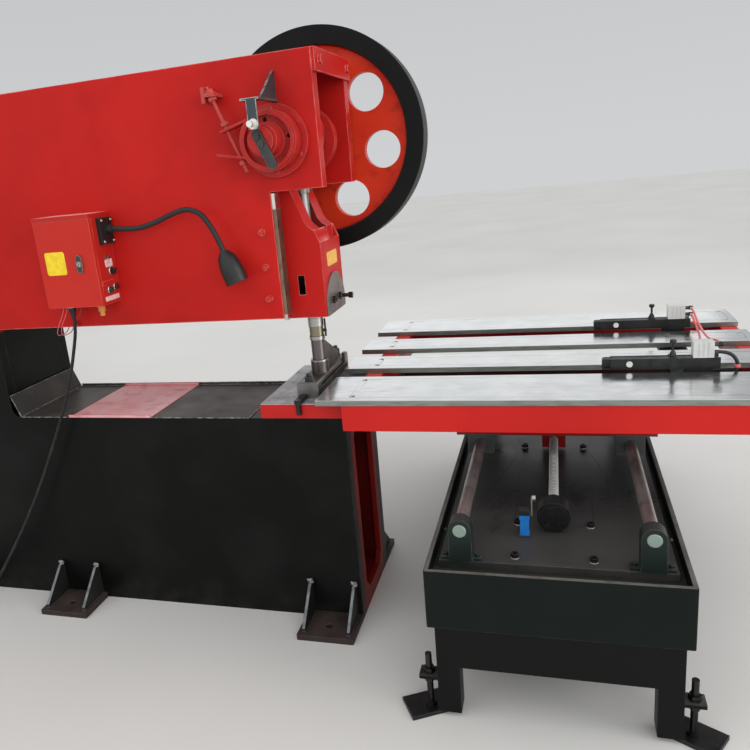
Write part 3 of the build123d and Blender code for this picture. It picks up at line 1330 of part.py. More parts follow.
# Clamp slide: cross plate on rail blocks, necks through the slots, channel-shaped clamp bodies
slide_x = clamp_tail - slide_inset
plate_z = rail_top + 16
jaw_split = bar_top + jaw_gap + 6
jaw_wall = 6
wall_top = jaw_split + jaw_thickness
with BuildPart() as clamp_slide:
    block((slide_x - 50, slide_x + 50), (clamp_ys[0] - 30, clamp_ys[1] + 30), (plate_z, plate_z + cross_plate))
    for beam_y in (-inner_beam_y, inner_beam_y):
        block((slide_x - 50, slide_x + 50), (beam_y - 22, beam_y + 22), (beam_bottom + 4, plate_z))
        block((slide_x - 51, slide_x + 51), (beam_y - 8 - guide_gap, beam_y + 8 + guide_gap),
              (beam_bottom, rail_top + guide_gap), Mode.SUBTRACT)
    block((slide_x - 30, slide_x + 30), (-24, 24), (beam_bottom - clamp_screw_drop + 30, plate_z))
    nut_centre = (0, beam_bottom - clamp_screw_drop + 50)
    round_x(nut_centre, clamp_screw_radius + shaft_gap, (slide_x - 31, slide_x + 31), Mode.SUBTRACT)
    for clamp_y in clamp_ys:
        block((slide_x - 30, slide_x + 50), (clamp_y - clamp_width / 2, clamp_y + clamp_width / 2),
              (plate_z + cross_plate, bar_top + jaw_gap))
        block((clamp_x, clamp_x + clamp_length), (clamp_y - clamp_width / 2, clamp_y + clamp_width / 2),
              (bar_top + jaw_gap, jaw_split))
        for wall_y in (clamp_y - clamp_width / 2, clamp_y + clamp_width / 2 - jaw_wall):
            block((clamp_x + jaw_nose + 2, clamp_x + clamp_length), (wall_y, wall_y + jaw_wall),
                  (jaw_split, wall_top))
        pivot = (clamp_x + pivot_x, jaw_split + pivot_rise)
        round_y(pivot, 6, (clamp_y - clamp_width / 2 - 4, clamp_y + clamp_width / 2 + 4))
        for head_ys in ((clamp_y - clamp_width / 2 - 4, clamp_y - clamp_width / 2),
                        (clamp_y + clamp_width / 2, clamp_y + clamp_width / 2 + 4)):
            round_y(pivot, 10, head_ys)
        valve = (clamp_x + valve_reach, clamp_y)
        block((valve[0] - 12, valve[0] + 12), (clamp_y - clamp_width / 2, clamp_y + clamp_width / 2),
              (wall_top, wall_top + 4))
        with BuildSketch(Plane.XZ.offset(-clamp_y)):
            with BuildLine():
                Polyline((valve[0], wall_top + 4), (valve[0] + 11, wall_top + 4),
                         (valve[0] + 9, wall_top + 14), (valve[0] + 4, wall_top + 22),
                         (valve[0] + 4, wall_top + 44), (valve[0] + 10, wall_top + 48),
                         (valve[0] + 10, wall_top + 58), (valve[0], wall_top + 58), close=True)
            make_face()
        revolve(axis=Axis((valve[0], clamp_y, 0), (0, 0, 1)))
keep(clamp_slide, "clamp_slide")

# Upper jaws that pivot on the slide's pins, with tails that rise clear of the slide
jaw_length = clamp_length - 8
tail_rise = 12
jaw_top = wall_top - 1
for jaw_name, clamp_y in (("near_jaw", clamp_ys[0]), ("far_jaw", clamp_ys[1])):
    with BuildPart() as jaw:
        with BuildSketch(upright(clamp_y + clamp_width / 2 - jaw_wall - 0.3)):
            with BuildLine(Plane.XY.offset(0)):
                Polyline((clamp_x, jaw_split + 0.3), (clamp_x + jaw_nose, jaw_split + 0.3),
                         (clamp_x + jaw_nose, jaw_split + 1.5), (clamp_x + pivot_x + 24, jaw_split + 1.5),
                         (clamp_x + jaw_length, jaw_split + 1.5 + tail_rise), (clamp_x + jaw_length, jaw_top),
                         (clamp_x + 5, jaw_top), (clamp_x, jaw_top - 5), close=True)
            make_face()
            with Locations((clamp_x + pivot_x, jaw_split + pivot_rise)):
                Circle(6 + shaft_gap, mode=Mode.SUBTRACT)
        extrude(amount=clamp_width - 2 * jaw_wall - 0.6)
    keep(jaw, jaw_name)

# Air cylinders and fittings on the clamps' tails
cylinder_x = clamp_tail - cylinder_inset - cylinder_size[0]
cylinder_bottom = wall_top
with BuildPart() as clamp_cylinders:
    for clamp_y in clamp_ys:
        block((cylinder_x, cylinder_x + cylinder_size[0]),
              (clamp_y - cylinder_size[1] / 2, clamp_y + cylinder_size[1] / 2),
              (cylinder_bottom, cylinder_bottom + cylinder_size[2]))
        for groove_x in (cylinder_x + 12, cylinder_x + 26, cylinder_x + 40):
            for groove_face in (clamp_y - cylinder_size[1] / 2, clamp_y + cylinder_size[1] / 2 - 3):
                block((groove_x, groove_x + 6), (groove_face, groove_face + 3),
                      (cylinder_bottom + 4, cylinder_bottom + cylinder_size[2] - 4), Mode.SUBTRACT)
        for fitting_z in (cylinder_bottom + 13, cylinder_bottom + 39):
            fitting_xs = (cylinder_x + cylinder_size[0], cylinder_x + cylinder_size[0] + 16)
            round_x((clamp_y, fitting_z), 7, fitting_xs)
keep(clamp_cylinders, "clamp_cylinders")

# Screw that drives the clamp slide, with its end bearings and motor
drive_z = beam_bottom - clamp_screw_drop + 50
drive_xs = (beam_left + beam_width + 12, beam_right - clamp_drive_inset)
clamp_motor_x = drive_xs[1] + clamp_motor_gap
with BuildPart() as clamp_drive:
    for end_x in (drive_xs[0], drive_xs[1] - 20):
        block((end_x, end_x + 20), (-inner_beam_y + inner_beam[0] / 2, inner_beam_y - inner_beam[0] / 2),
              (inner_beam_bottom, inner_beam_bottom + 12))
        block((end_x, end_x + 20), (-36, 36), (inner_beam_bottom + 12, drive_z + 26))
    round_x((0, drive_z), clamp_screw_radius + shaft_gap, (drive_xs[0] - 1, drive_xs[1] + 1), Mode.SUBTRACT)
    block((clamp_motor_x, clamp_motor_x + clamp_motor_length), (-43, 43), (drive_z - 43, drive_z + 40))
    block((drive_xs[1], clamp_motor_x), (-43, -30), (drive_z - 38, drive_z + 26))
    block((drive_xs[1], clamp_motor_x), (30, 43), (drive_z - 38, drive_z + 26))
keep(clamp_drive, "clamp_drive")

with BuildPart() as clamp_screw:
    round_x((0, drive_z), clamp_screw_radius, (drive_xs[0] + 0.5, clamp_motor_x - 1))
keep(clamp_screw, "clamp_screw")

box = Compound(children=list(parts.values())).bounding_box()
print("pieces", len(parts), "box", [round(v, 1) for v in (*box.min, *box.max)])
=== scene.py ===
from math import cos, pi, radians, sin

import bpy
from mathutils import Matrix, Vector


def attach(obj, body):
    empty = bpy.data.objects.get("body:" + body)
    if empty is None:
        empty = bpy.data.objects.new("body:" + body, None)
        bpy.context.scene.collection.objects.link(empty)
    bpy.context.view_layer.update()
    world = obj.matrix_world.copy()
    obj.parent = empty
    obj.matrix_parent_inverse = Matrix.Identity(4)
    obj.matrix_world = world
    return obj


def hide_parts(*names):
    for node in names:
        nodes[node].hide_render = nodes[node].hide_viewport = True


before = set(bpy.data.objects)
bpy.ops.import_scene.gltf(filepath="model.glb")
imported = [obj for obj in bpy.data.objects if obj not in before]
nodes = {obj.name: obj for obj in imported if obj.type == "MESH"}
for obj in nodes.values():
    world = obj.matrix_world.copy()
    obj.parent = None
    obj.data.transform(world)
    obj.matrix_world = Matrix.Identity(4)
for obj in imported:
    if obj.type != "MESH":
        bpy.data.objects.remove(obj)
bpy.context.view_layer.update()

# Looks for the deep-throat crank press and its feed table, in metres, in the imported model's frame.
# A material's object coordinates are the frame's, so a mask names its place by these coordinates.
scene = bpy.context.scene

MM = 0.001


# Materials
class Surface:
    """A procedural material built up in layers from the object's own coordinates."""

    def __init__(self, colour, rough, metal=0.0, specular=0.22):
        self.material = bpy.data.materials.new("surface")
        self.material.use_nodes = True
        self.tree = self.material.node_tree
        self.shader = self.tree.nodes["Principled BSDF"]
        self.shader.inputs["Specular IOR Level"].default_value = specular
        self.place = self.new("TexCoord").outputs["Object"]
        self.colour = colour
        self.rough = rough
        self.metal = metal
        self.height = None
        self.axes = None

    def new(self, kind, inputs=(), **named):
        """Add a node and set its inputs, the first ones in order and others by name."""
        node = self.tree.nodes.new("ShaderNode" + kind)
        for slot, item in (*enumerate(inputs), *named.items()):
            self.feed(node.inputs[slot], item)
        return node

    def feed(self, socket, item):
        """Set a socket to a fixed value, vector or colour, or link it to another node's output."""
        if isinstance(item, tuple):
            socket.default_value = (*item, 1)[:len(socket.default_value)]
        elif isinstance(item, (int, float)):
            socket.default_value = item
        else:
            self.tree.links.new(item, socket)

    def noise(self, scale, detail, stretch=(1, 1, 1), shift=0.0):
        shifts = (shift, shift * 0.7, shift * 1.3)
        place = self.new("Mapping", Vector=self.place, Location=shifts, Scale=stretch)
        return self.new("TexNoise", Vector=place.outputs[0], Scale=scale, Detail=detail).outputs["Fac"]

    def span(self, source, low, high, start=0.0, end=1.0):
        """Spread what lies between low and high from start to end."""
        return self.new("MapRange", (source, low, high, start, end)).outputs["Result"]

    def past(self, index, low, high):
        """0 to 1 as the coordinate goes from low to high."""
        return self.span(self.axis(index), low, high)

    def patches(self, scale, detail, shift, *limits, stretch=(1, 1, 1)):
        """Cloudy patches: noise spread between two limits, and the mask's two ends where given."""
        return self.span(self.noise(scale, detail, stretch, shift), *limits)

    def maths(self, operation, *values, clamp=True):
        node = self.new("Math", values)
        node.operation = operation
        node.use_clamp = clamp
        return node.outputs[0]

    def both(self, first, *others):
        """1 where every mask is 1."""
        for other in others:
            first = self.maths("MULTIPLY", first, other)
        return first

    def outside(self, mask):
        """1 where the mask is 0."""
        return self.maths("SUBTRACT", 1.0, mask)

    def waves(self, scale, direction="X"):
        """Even bands across the given axis."""
        node = self.new("TexWave", Vector=self.place, Scale=scale)
        node.bands_direction = direction
        return node.outputs["Fac"]

    def axis(self, index):
        if self.axes is None:
            self.axes = self.new("SeparateXYZ", (self.place,))
        return self.axes.outputs[index]

    def between(self, index, low, high, soft=0.0004):
        """1 where the coordinate lies between low and high."""
        return self.both(self.past(index, low - soft, low + soft), self.past(index, high + soft, high - soft))

    def inside(self, xs=None, ys=None, zs=None):
        """1 inside a box given by its limits in metres."""
        return self.both(*(self.between(i, *limits) for i, limits in enumerate((xs, ys, zs)) if limits))

    def within(self, centre, radius, plane=(0, 2), soft=0.0004):
        """1 inside a round bar with this centre, seen along the third axis."""
        offsets = [self.maths("ADD", self.axis(i), -middle, clamp=False) for i, middle in zip(plane, centre)]
        length = self.new("VectorMath", (self.new("CombineXYZ", offsets).outputs[0],))
        length.operation = "LENGTH"
        return self.span(length.outputs["Value"], radius + soft, radius - soft)

    def facing(self, index=2, low=0.5, high=0.95):
        """1 on faces that look along the axis."""
        normal = self.new("SeparateXYZ", (self.new("NewGeometry").outputs["Normal"],))
        return self.span(normal.outputs[index], low, high)

    def edge(self, radius=0.003):
        """1 along edges, where the rounded normal leaves the flat one."""
        bevel = self.new("Bevel", Radius=radius)
        bevel.samples = 4
        dot = self.new("VectorMath", (bevel.outputs[0], self.new("NewGeometry").outputs["True Normal"]))
        dot.operation = "DOT_PRODUCT"
        return self.span(dot.outputs["Value"], 0.995, 0.9)

    def blend(self, factor, a, b, kind="FLOAT"):
        node = self.new("Mix")
        node.data_type = kind
        self.feed(node.inputs["Factor"], factor)
        sockets = [s for s in node.inputs if s.name in ("A", "B") and s.enabled]
        self.feed(sockets[0], a)
        self.feed(sockets[1], b)
        return [s for s in node.outputs if s.enabled][0]

    def mix(self, factor, colour, rough=None, metal=None):
        """Lay another colour over, with its own roughness and metal where given."""
        self.colour = self.blend(factor, self.colour, colour, "RGBA")
        if rough is not None:
            self.rough = self.blend(factor, self.rough, rough)
        if metal is not None and metal != self.metal:
            self.metal = self.blend(factor, self.metal, metal)
        return self

    def roughen(self, factor, amount):
        self.rough = self.maths("MULTIPLY_ADD", factor, amount, self.rough, clamp=False)
        return self

    def raise_by(self, factor, strength, distance=0.001):
        node = self.new("Bump", Height=factor, Strength=strength, Distance=distance)
        if self.height:
            self.feed(node.inputs["Normal"], self.height)
        self.height = node.outputs["Normal"]
        return self

    def done(self, name):
        self.material.name = name
        self.feed(self.shader.inputs["Base Color"], self.colour)
        self.feed(self.shader.inputs["Roughness"], self.rough)
        self.feed(self.shader.inputs["Metallic"], self.metal)
        if self.height:
            self.feed(self.shader.inputs["Normal"], self.height)
        return self.material


def dim(colour, factor):
    return tuple(c * factor for c in colour)


def enamel(colour, shade, rough=0.3, grime=0.22, dust=0.12, dust_colour=(0.40, 0.36, 0.32), specular=0.22):
    """Brushed-on or sprayed enamel: soft tone changes, orange peel, smears, chips and dust on top faces."""
    s = Surface(colour, rough, specular=specular)
    s.mix(s.patches(1.7, 5, 0, 0.38, 0.68), shade)
    s.mix(s.both(s.patches(9, 8, 3, 0.54, 0.76), grime), dim(colour, 0.5))
    s.mix(s.both(s.patches(230, 3, 9, 0.72, 0.80), 0.3), dim(colour, 0.35))
    s.mix(s.both(s.facing(), s.patches(14, 6, 5, 0.3, 0.75, 0, dust)), dust_colour)
    s.roughen(s.patches(6, 6, 1, 0.3, 0.7), 0.16)
    s.raise_by(s.noise(420, 2), 0.04).raise_by(s.noise(5, 3, shift=2), 0.04, 0.008)
    return s


def bare_metal(colour, shade, rough=0.3, grain=(1, 1, 1), grain_scale=60, stain=0.25, bump=0.04):
    """Machined or plated metal: tool marks along one axis and oily stains."""
    s = Surface(colour, rough, metal=1.0)
    s.mix(s.patches(7, 6, 0, 0.35, 0.7), shade)
    s.mix(s.both(s.patches(22, 8, 4, 0.55, 0.72), stain), dim(shade, 0.25))
    marks = s.noise(grain_scale, 3, stretch=grain, shift=7)
    s.roughen(s.span(marks, 0.3, 0.7), 0.16).roughen(s.patches(11, 5, 2, 0.4, 0.7), 0.1)
    s.raise_by(marks, bump)
    return s


def edge_wear_and_highlight(s, amount, colour, radius=0.003, metal=0.0, rough=0.5, scale=30):
    """Lay a paler colour along the edges in patches: rubbed-through paint and painted highlight."""
    patches = s.span(s.noise(scale, 6, shift=12), 0.38, 0.62, 0.1, amount)
    s.mix(s.both(s.edge(radius), patches), colour, rough, metal)
    return s


RED = (0.50, 0.014, 0.011)
DEEP_RED = (0.41, 0.010, 0.008)
ORANGE_RED = (0.60, 0.036, 0.012)
DARK = (0.0034, 0.0038, 0.0033)
GREEN_BLACK = (0.0026, 0.0058, 0.0046)
WORN_RED = (0.66, 0.16, 0.13)

# Places that the looks and the added pieces refer to
crank_middle = (0.143, 1.736)
punch_middle = (0.143, -0.343)
lock_middle = (-0.577, 1.404)
pilot_middle = (-0.604, 1.415)
lamp_plate_middle = (-0.4972, -0.593, 1.505)
feed_screw_middle = (0.970, 0.530)
clamp_screw_middle = (0.0, 0.766)
wheel_web_radius = 0.331
wheel_hub_radius = 0.110
arm_bottom = 1.144
base_end = -0.101
web_faces = (-0.5079, -0.1781)
side_plate_faces = (-0.553, -0.133)
foot_xs = (-1.568, -0.934, 0.176)
clamp_ys = (-0.280, 0.306)
bed_top = 0.480
bolster_top = 0.851
bar_edge_top = 0.8849
box_side = -0.5146
box_top = 1.55475


def make_frame_paint():
    """Red above the throat and black below it, with the base's inside deep red."""
    s = enamel(RED, DEEP_RED, rough=0.30, specular=0.11)
    dirty = s.both(s.past(2, 1.26, 1.15), s.patches(7, 7, 14, 0.4, 0.75, 0, 0.5))
    s.mix(dirty, (0.26, 0.012, 0.010))
    near_crank = s.both(s.within(crank_middle, 0.30, soft=0.14), s.patches(11, 7, 15, 0.45, 0.7, 0, 0.35))
    s.mix(near_crank, (0.24, 0.012, 0.010))
    # Pale pink along the edges above the throat, in patches: rubbed paint and painted highlight.
    rubbed = s.both(s.past(2, 1.150, 1.155), s.edge(0.005), s.patches(13, 8, 17, 0.36, 0.62, 0.1, 1.0))
    s.mix(rubbed, (0.78, 0.26, 0.23), 0.36)
    below = s.past(2, arm_bottom + 0.0005, arm_bottom - 0.0005)
    inside = s.both(s.past(0, base_end - 0.001, base_end + 0.001), s.between(1, *web_faces, soft=0.0002))
    dark_part = s.both(below, s.outside(inside))
    s.mix(s.both(below, inside), (0.17, 0.008, 0.006), 0.4)
    s.mix(dark_part, DARK, 0.34)
    s.mix(s.both(dark_part, s.patches(3, 7, 8, 0.48, 0.8, 0, 0.6)), (0.013, 0.015, 0.013))
    s.mix(s.both(s.past(2, 0.14, 0.0), s.patches(16, 8, 6, 0.42, 0.8, 0, 0.22)), (0.06, 0.053, 0.046), 0.6)
    s.mix(s.both(dark_part, s.edge(0.003), s.patches(30, 6, 12, 0.38, 0.62, 0.1, 0.6)),
          (0.10, 0.09, 0.08), 0.5)
    return s


def make_wheel_paint():
    """Black rim round an orange-red web and a dark greasy hub."""
    s = enamel((0.0040, 0.0040, 0.0040), (0.0068, 0.0068, 0.0068), rough=0.34, grime=0.1, specular=0.12)
    web = s.within(crank_middle, wheel_web_radius, soft=0.0012)
    s.mix(web, ORANGE_RED, 0.36)
    s.mix(s.both(web, s.patches(3.5, 6, 4, 0.45, 0.72, 0, 0.8)), (0.47, 0.020, 0.009))
    s.mix(s.both(web, s.patches(26, 8, 7, 0.56, 0.72, 0, 0.4)), (0.18, 0.012, 0.008))
    hub = s.within(crank_middle, wheel_hub_radius, soft=0.012)
    s.mix(s.both(hub, s.patches(18, 7, 2, 0.35, 0.6, 0.1, 0.7)), (0.09, 0.010, 0.008), 0.3)
    s.mix(s.both(s.facing(1, 0.5, -0.5), s.outside(web), s.edge(0.0025)), (0.05, 0.05, 0.048), 0.4)
    return s


def make_ram_paint():
    """Smooth red enamel with pale lines along the ram's edges, rubbed paint and painted highlight, and darker
    patches inside its pocket.
    """
    s = enamel(RED, DEEP_RED, rough=0.36, grime=0.15, specular=0.10)
    pocket = s.inside((0.078, 0.208), (-0.385, -0.301), (1.30, 1.62))
    s.mix(s.both(pocket, s.patches(9, 6, 5, 0.3, 0.6, 0.4, 0.95)), (0.055, 0.012, 0.010), 0.35)
    s.mix(s.both(s.past(2, 1.19, 1.14), s.patches(20, 7, 3, 0.4, 0.7, 0, 0.55)), (0.20, 0.018, 0.014))
    s.mix(s.both(s.inside((0.13, 0.164), None, (1.220, 1.294)), s.edge(0.004)), (0.35, 0.05, 0.04))
    # Painted shade: near-black inside the knockout slot.
    s.mix(s.inside((0.1345, 0.1595), (-0.4612, -0.2248), (1.2235, 1.2905)), (0.006, 0.003, 0.003), 0.5)
    # Pale pink lines along the edges: rubbed paint and painted highlight.
    return edge_wear_and_highlight(s, 1.0, (0.78, 0.33, 0.30), 0.0032, rough=0.35, scale=16)


def make_guide_metal():
    """Greasy brown gib strips that show bright where the ram has rubbed their ends."""
    s = bare_metal((0.27, 0.20, 0.145), (0.17, 0.12, 0.085), rough=0.36, grain=(14, 14, 0.5),
                   grain_scale=30, stain=0.7)
    ends = s.maths("ADD", s.past(2, 1.523, 1.527), s.past(2, 1.176, 1.172))
    s.mix(ends, (0.62, 0.60, 0.56), 0.22)
    s.mix(s.patches(24, 8, 9, 0.55, 0.72, 0, 0.85), (0.085, 0.055, 0.040), 0.5)
    return edge_wear_and_highlight(s, 0.9, (0.60, 0.52, 0.45), 0.0016, 1.0, 0.3, 22)


def make_punch_metal():
    """Ground collar over an oil-browned band, pale ring and dull purple-grey body."""
    s = bare_metal((0.43, 0.42, 0.40), (0.33, 0.31, 0.285), rough=0.2, grain=(1, 1, 30), grain_scale=14)
    band = s.inside(None, None, (1.051, 1.087))
    s.mix(band, (0.27, 0.235, 0.165), 0.32)
    s.mix(s.past(2, 1.0375, 1.0365), (0.16, 0.138, 0.139), 0.36)
    s.mix(s.inside((0.170, 0.20), None, (1.03, 1.13)), (0.045, 0.04, 0.036), 0.45)
    for seam in (1.0510, 1.0870, 1.1180):
        s.mix(s.inside(None, None, (seam - 0.0006, seam + 0.0006)), (0.05, 0.04, 0.03), 0.5)
    return s


def make_bridge_metal():
    """Oily dark tool steel, blue-grey at its near end and paler round the guide's top."""
    s = bare_metal((0.20, 0.18, 0.16), (0.115, 0.10, 0.088), rough=0.36, stain=0.75)
    s.mix(s.both(s.past(1, -0.43, -0.455), s.patches(30, 6, 6, 0.3, 0.6, 0.3, 0.8)), (0.20, 0.23, 0.24), 0.34)
    guide_top = s.both(s.between(2, 0.955, 0.97), s.within(punch_middle, 0.034, (0, 1)))
    s.mix(guide_top, (0.34, 0.31, 0.29), 0.3)
    guide_side = s.both(s.between(2, 0.915, 0.955), s.within(punch_middle, 0.0345, (0, 1)))
    s.mix(guide_side, (0.115, 0.098, 0.092), 0.4)
    return edge_wear_and_highlight(s, 0.75, (0.34, 0.30, 0.26), 0.0028, 1.0, 0.35, 18)


def make_die_metal():
    s = bare_metal((0.20, 0.19, 0.175), (0.11, 0.10, 0.09), rough=0.34, stain=0.7)
    return edge_wear_and_highlight(s, 0.6, (0.40, 0.36, 0.32), 0.0025, 1.0, 0.35, 18)


def make_bolster_paint():
    """Red plate with its top ground to pale, oil-marked steel."""
    s = enamel(RED, DEEP_RED, rough=0.3)
    top = s.both(s.past(2, bolster_top - 0.0002, bolster_top + 0.0002), s.facing(2, 0.3, 0.5))
    s.mix(top, (0.40, 0.40, 0.42), 0.4, 0.6)
    s.mix(s.both(top, s.patches(12, 7, 6, 0.45, 0.7, 0, 0.7)), (0.15, 0.14, 0.13), 0.45)
    s.mix(s.both(top, s.patches(60, 6, 3, 0.58, 0.7, 0, 0.5)), (0.12, 0.10, 0.085), 0.45)
    s.mix(s.both(s.within(punch_middle, 0.16, (0, 1), 0.05), s.patches(25, 7, 8, 0.4, 0.62, 0, 0.6)),
          (0.07, 0.055, 0.045), 0.3)
    return s


def make_tray_paint():
    """Dark sheet with its lip and rim rubbed to bare metal."""
    s = enamel((0.022, 0.023, 0.022), (0.036, 0.034, 0.030), rough=0.42, grime=0.4, dust=0.55,
               dust_colour=(0.13, 0.11, 0.095))
    s.mix(s.patches(5, 8, 2, 0.48, 0.7, 0, 0.6), (0.085, 0.070, 0.060), 0.5)
    return edge_wear_and_highlight(s, 1.0, (0.52, 0.52, 0.52), 0.0055, 0.5, 0.4, 60)


def make_cover_paint():
    """Red panel under pale dust, with a redder turned edge."""
    s = Surface((0.62, 0.21, 0.21), 0.45)
    s.mix(s.patches(4, 6, 1, 0.36, 0.66), (0.74, 0.43, 0.45))
    s.mix(s.patches(16, 8, 4, 0.54, 0.72, 0, 0.6), (0.46, 0.07, 0.065))
    s.mix(s.patches(110, 4, 7, 0.64, 0.74, 0, 0.5), (0.60, 0.50, 0.47))
    s.mix(s.edge(0.003), (0.40, 0.04, 0.035))
    s.raise_by(s.noise(9, 3), 0.15, 0.004)
    return s


def make_box_paint():
    """Red sheet-metal box with a dusty top, a steel-rimmed pilot light and pale terminal rows inside."""
    s = enamel((0.47, 0.017, 0.012), (0.40, 0.013, 0.010), rough=0.40, grime=0.15, dust=0.75,
               dust_colour=(0.72, 0.35, 0.30))
    side = s.past(0, box_side - 0.0001, box_side + 0.0001)
    top = s.both(s.facing(), s.past(2, box_top - 0.00025, box_top + 0.00025))
    s.mix(s.both(top, s.patches(11, 7, 13, 0.2, 0.7, 0.6, 1.0)), (0.84, 0.45, 0.40), 0.5)
    pilot = s.both(side, s.within(pilot_middle, 0.0078, (1, 2)))
    s.mix(pilot, (0.42, 0.41, 0.40), 0.22, 1.0)
    s.mix(s.both(pilot, s.within(pilot_middle, 0.0048, (1, 2))), (0.10, 0.012, 0.010), 0.2, 0.0)
    s.mix(s.inside((-0.737, -0.518), (-0.66, -0.557), (1.2575, 1.5655)), (0.42, 0.40, 0.36), 0.5)
    terminal = s.inside((-0.733, -0.53), (-0.63, -0.5605), (1.27, 1.49))
    s.mix(terminal, (0.05, 0.055, 0.06), 0.35)
    s.mix(s.both(terminal, s.patches(70, 1, 3, 0.5, 0.52)), (0.50, 0.50, 0.47), 0.4)
    # Pale pink edges in patches: rubbed paint and painted highlight.
    return edge_wear_and_highlight(s, 0.7, (0.72, 0.20, 0.16), 0.003, scale=14)


def make_door_paint():
    s = enamel((0.50, 0.022, 0.013), (0.45, 0.017, 0.011), rough=0.38, grime=0.1)
    # Pale pink edges in patches: rubbed paint and painted highlight.
    return edge_wear_and_highlight(s, 0.7, (0.72, 0.20, 0.15), 0.003, scale=14)


def make_lock_look():
    """Dark oval lock plate in a pale rim with a steel barrel."""
    s = make_plastic((0.045, 0.042, 0.042), 0.3)
    s.mix(s.edge(0.005), (0.46, 0.20, 0.17), 0.3, 0.3)
    s.mix(s.within(lock_middle, 0.0092), (0.45, 0.44, 0.42), 0.25, 1.0)
    s.mix(s.inside((-0.5785, -0.5755), None, (1.3985, 1.4095)), (0.01, 0.01, 0.01), 0.4, 0.0)
    return s


def make_crank_red():
    """Greasy red enamel of the brake and bearings."""
    s = enamel((0.46, 0.020, 0.017), (0.38, 0.014, 0.012), rough=0.28, grime=0.4)
    s.mix(s.patches(26, 8, 6, 0.52, 0.68, 0, 0.45), (0.16, 0.016, 0.012), 0.34)
    edge_wear_and_highlight(s, 0.55, (0.66, 0.20, 0.17), 0.0025, rough=0.4, scale=16)
    return s


def make_sensor_metal():
    """Dark plated bracket with pale edges, cut metal and painted glints, and a bright nut."""
    s = bare_metal((0.080, 0.098, 0.108), (0.042, 0.052, 0.056), rough=0.34, stain=0.5)
    s.metal = 0.55
    # Pale edges: cut metal and painted glints.
    edge_wear_and_highlight(s, 1.0, (0.72, 0.72, 0.70), 0.0042, 1.0, 0.3, 34)
    s.mix(s.within((0.143, 1.782), 0.0155), (0.70, 0.68, 0.64), 0.24)
    return s


def make_rod_paint():
    """Red-painted screw rod with the thread's crests rubbed pale."""
    s = make_crank_red()
    thread = s.waves(90, "Z")
    s.mix(s.both(thread, 0.4), (0.62, 0.22, 0.19))
    s.raise_by(thread, 0.5, 0.0008)
    return s


def make_table_red():
    """Deep red enamel on the table's outer beams, with painted shade, near-black, on what lies under the
    bars.
    """
    s = enamel((0.54, 0.013, 0.010), (0.47, 0.011, 0.008), rough=0.30, grime=0.15)
    # Painted shade: what lies under the bars is near-black.
    under = s.inside((0.352, 1.613), (-0.53, 0.53), (0.70, 0.8665))
    s.mix(under, (0.030, 0.007, 0.006), 0.5)
    return edge_wear_and_highlight(s, 0.3, WORN_RED, 0.002, scale=9)


def make_carriage_paint():
    s = enamel((0.30, 0.011, 0.009), (0.22, 0.009, 0.008), rough=0.34, grime=0.4)
    blocks = s.outside(s.inside((0.78, 1.16), None, None))
    s.mix(s.both(blocks, s.past(2, 0.6245, 0.6235)), (0.075, 0.082, 0.080), 0.36, 0.3)
    return edge_wear_and_highlight(s, 0.4, (0.30, 0.28, 0.26), 0.002, scale=14)


def make_ground_bars():
    """Ground steel: mirror-like tops with fine marks along the bars, and duller green-grey edges."""
    s = bare_metal((0.70, 0.71, 0.71), (0.62, 0.63, 0.63), rough=0.07, grain=(0.35, 16, 16),
                   grain_scale=40, stain=0.03, bump=0.003)
    s.mix(s.patches(3, 6, 11, 0.5, 0.8, 0, 0.35), (0.54, 0.58, 0.55))
    s.mix(s.patches(26, 9, 13, 0.58, 0.74, 0, 0.4, stretch=(0.3, 2, 2)), (0.40, 0.40, 0.38), 0.24)
    side = s.past(2, bar_edge_top + 0.0004, bar_edge_top - 0.0004)
    s.mix(side, (0.30, 0.33, 0.30), 0.36)
    s.mix(s.both(side, s.patches(40, 6, 5, 0.45, 0.7, 0, 0.7, stretch=(0.4, 1, 3))), (0.17, 0.19, 0.17), 0.42)
    return s


def make_apron_paint():
    """Green-black enamel with the upward lip dulled by grey dust."""
    s = enamel(GREEN_BLACK, (0.0062, 0.0098, 0.0085), rough=0.32, grime=0.15, dust=0.0, specular=0.13)
    lip = s.both(s.past(2, 0.4988, 0.4992), s.facing())
    s.mix(lip, (0.105, 0.100, 0.092), 0.55)
    s.mix(s.both(lip, s.patches(20, 7, 4, 0.45, 0.65, 0, 0.7)), (0.05, 0.047, 0.042))
    floor = s.both(s.facing(), s.past(2, 0.46, 0.45))
    s.mix(floor, (0.045, 0.042, 0.038), 0.5)
    return edge_wear_and_highlight(s, 0.6, (0.11, 0.115, 0.105), 0.003, scale=14)


def make_bed_paint():
    """Blue-black plate with a greasy sheen, dry scuffs and oil spots, under black screws on pale washers."""
    s = enamel((0.030, 0.030, 0.029), (0.020, 0.021, 0.022), rough=0.22, grime=0.2, dust=0.0)
    s.mix(s.patches(2.3, 6, 7, 0.42, 0.68, 0, 0.75), (0.052, 0.050, 0.046), 0.36)
    s.mix(s.patches(10, 8, 3, 0.58, 0.72, 0, 0.5, stretch=(1, 0.4, 1)), (0.012, 0.012, 0.013), 0.14)
    s.mix(s.patches(55, 5, 9, 0.66, 0.72, 0, 0.7, stretch=(0.4, 2, 1)), (0.006, 0.006, 0.006), 0.3)
    edge_wear_and_highlight(s, 0.8, (0.11, 0.11, 0.105), 0.003, scale=20)
    washers = s.past(2, bed_top + 0.0004, bed_top + 0.0007)
    s.mix(washers, (0.30, 0.29, 0.28), 0.4)
    screw_heads = s.past(2, bed_top + 0.0035, bed_top + 0.0040)
    s.mix(screw_heads, (0.008, 0.008, 0.008), 0.32)
    return s


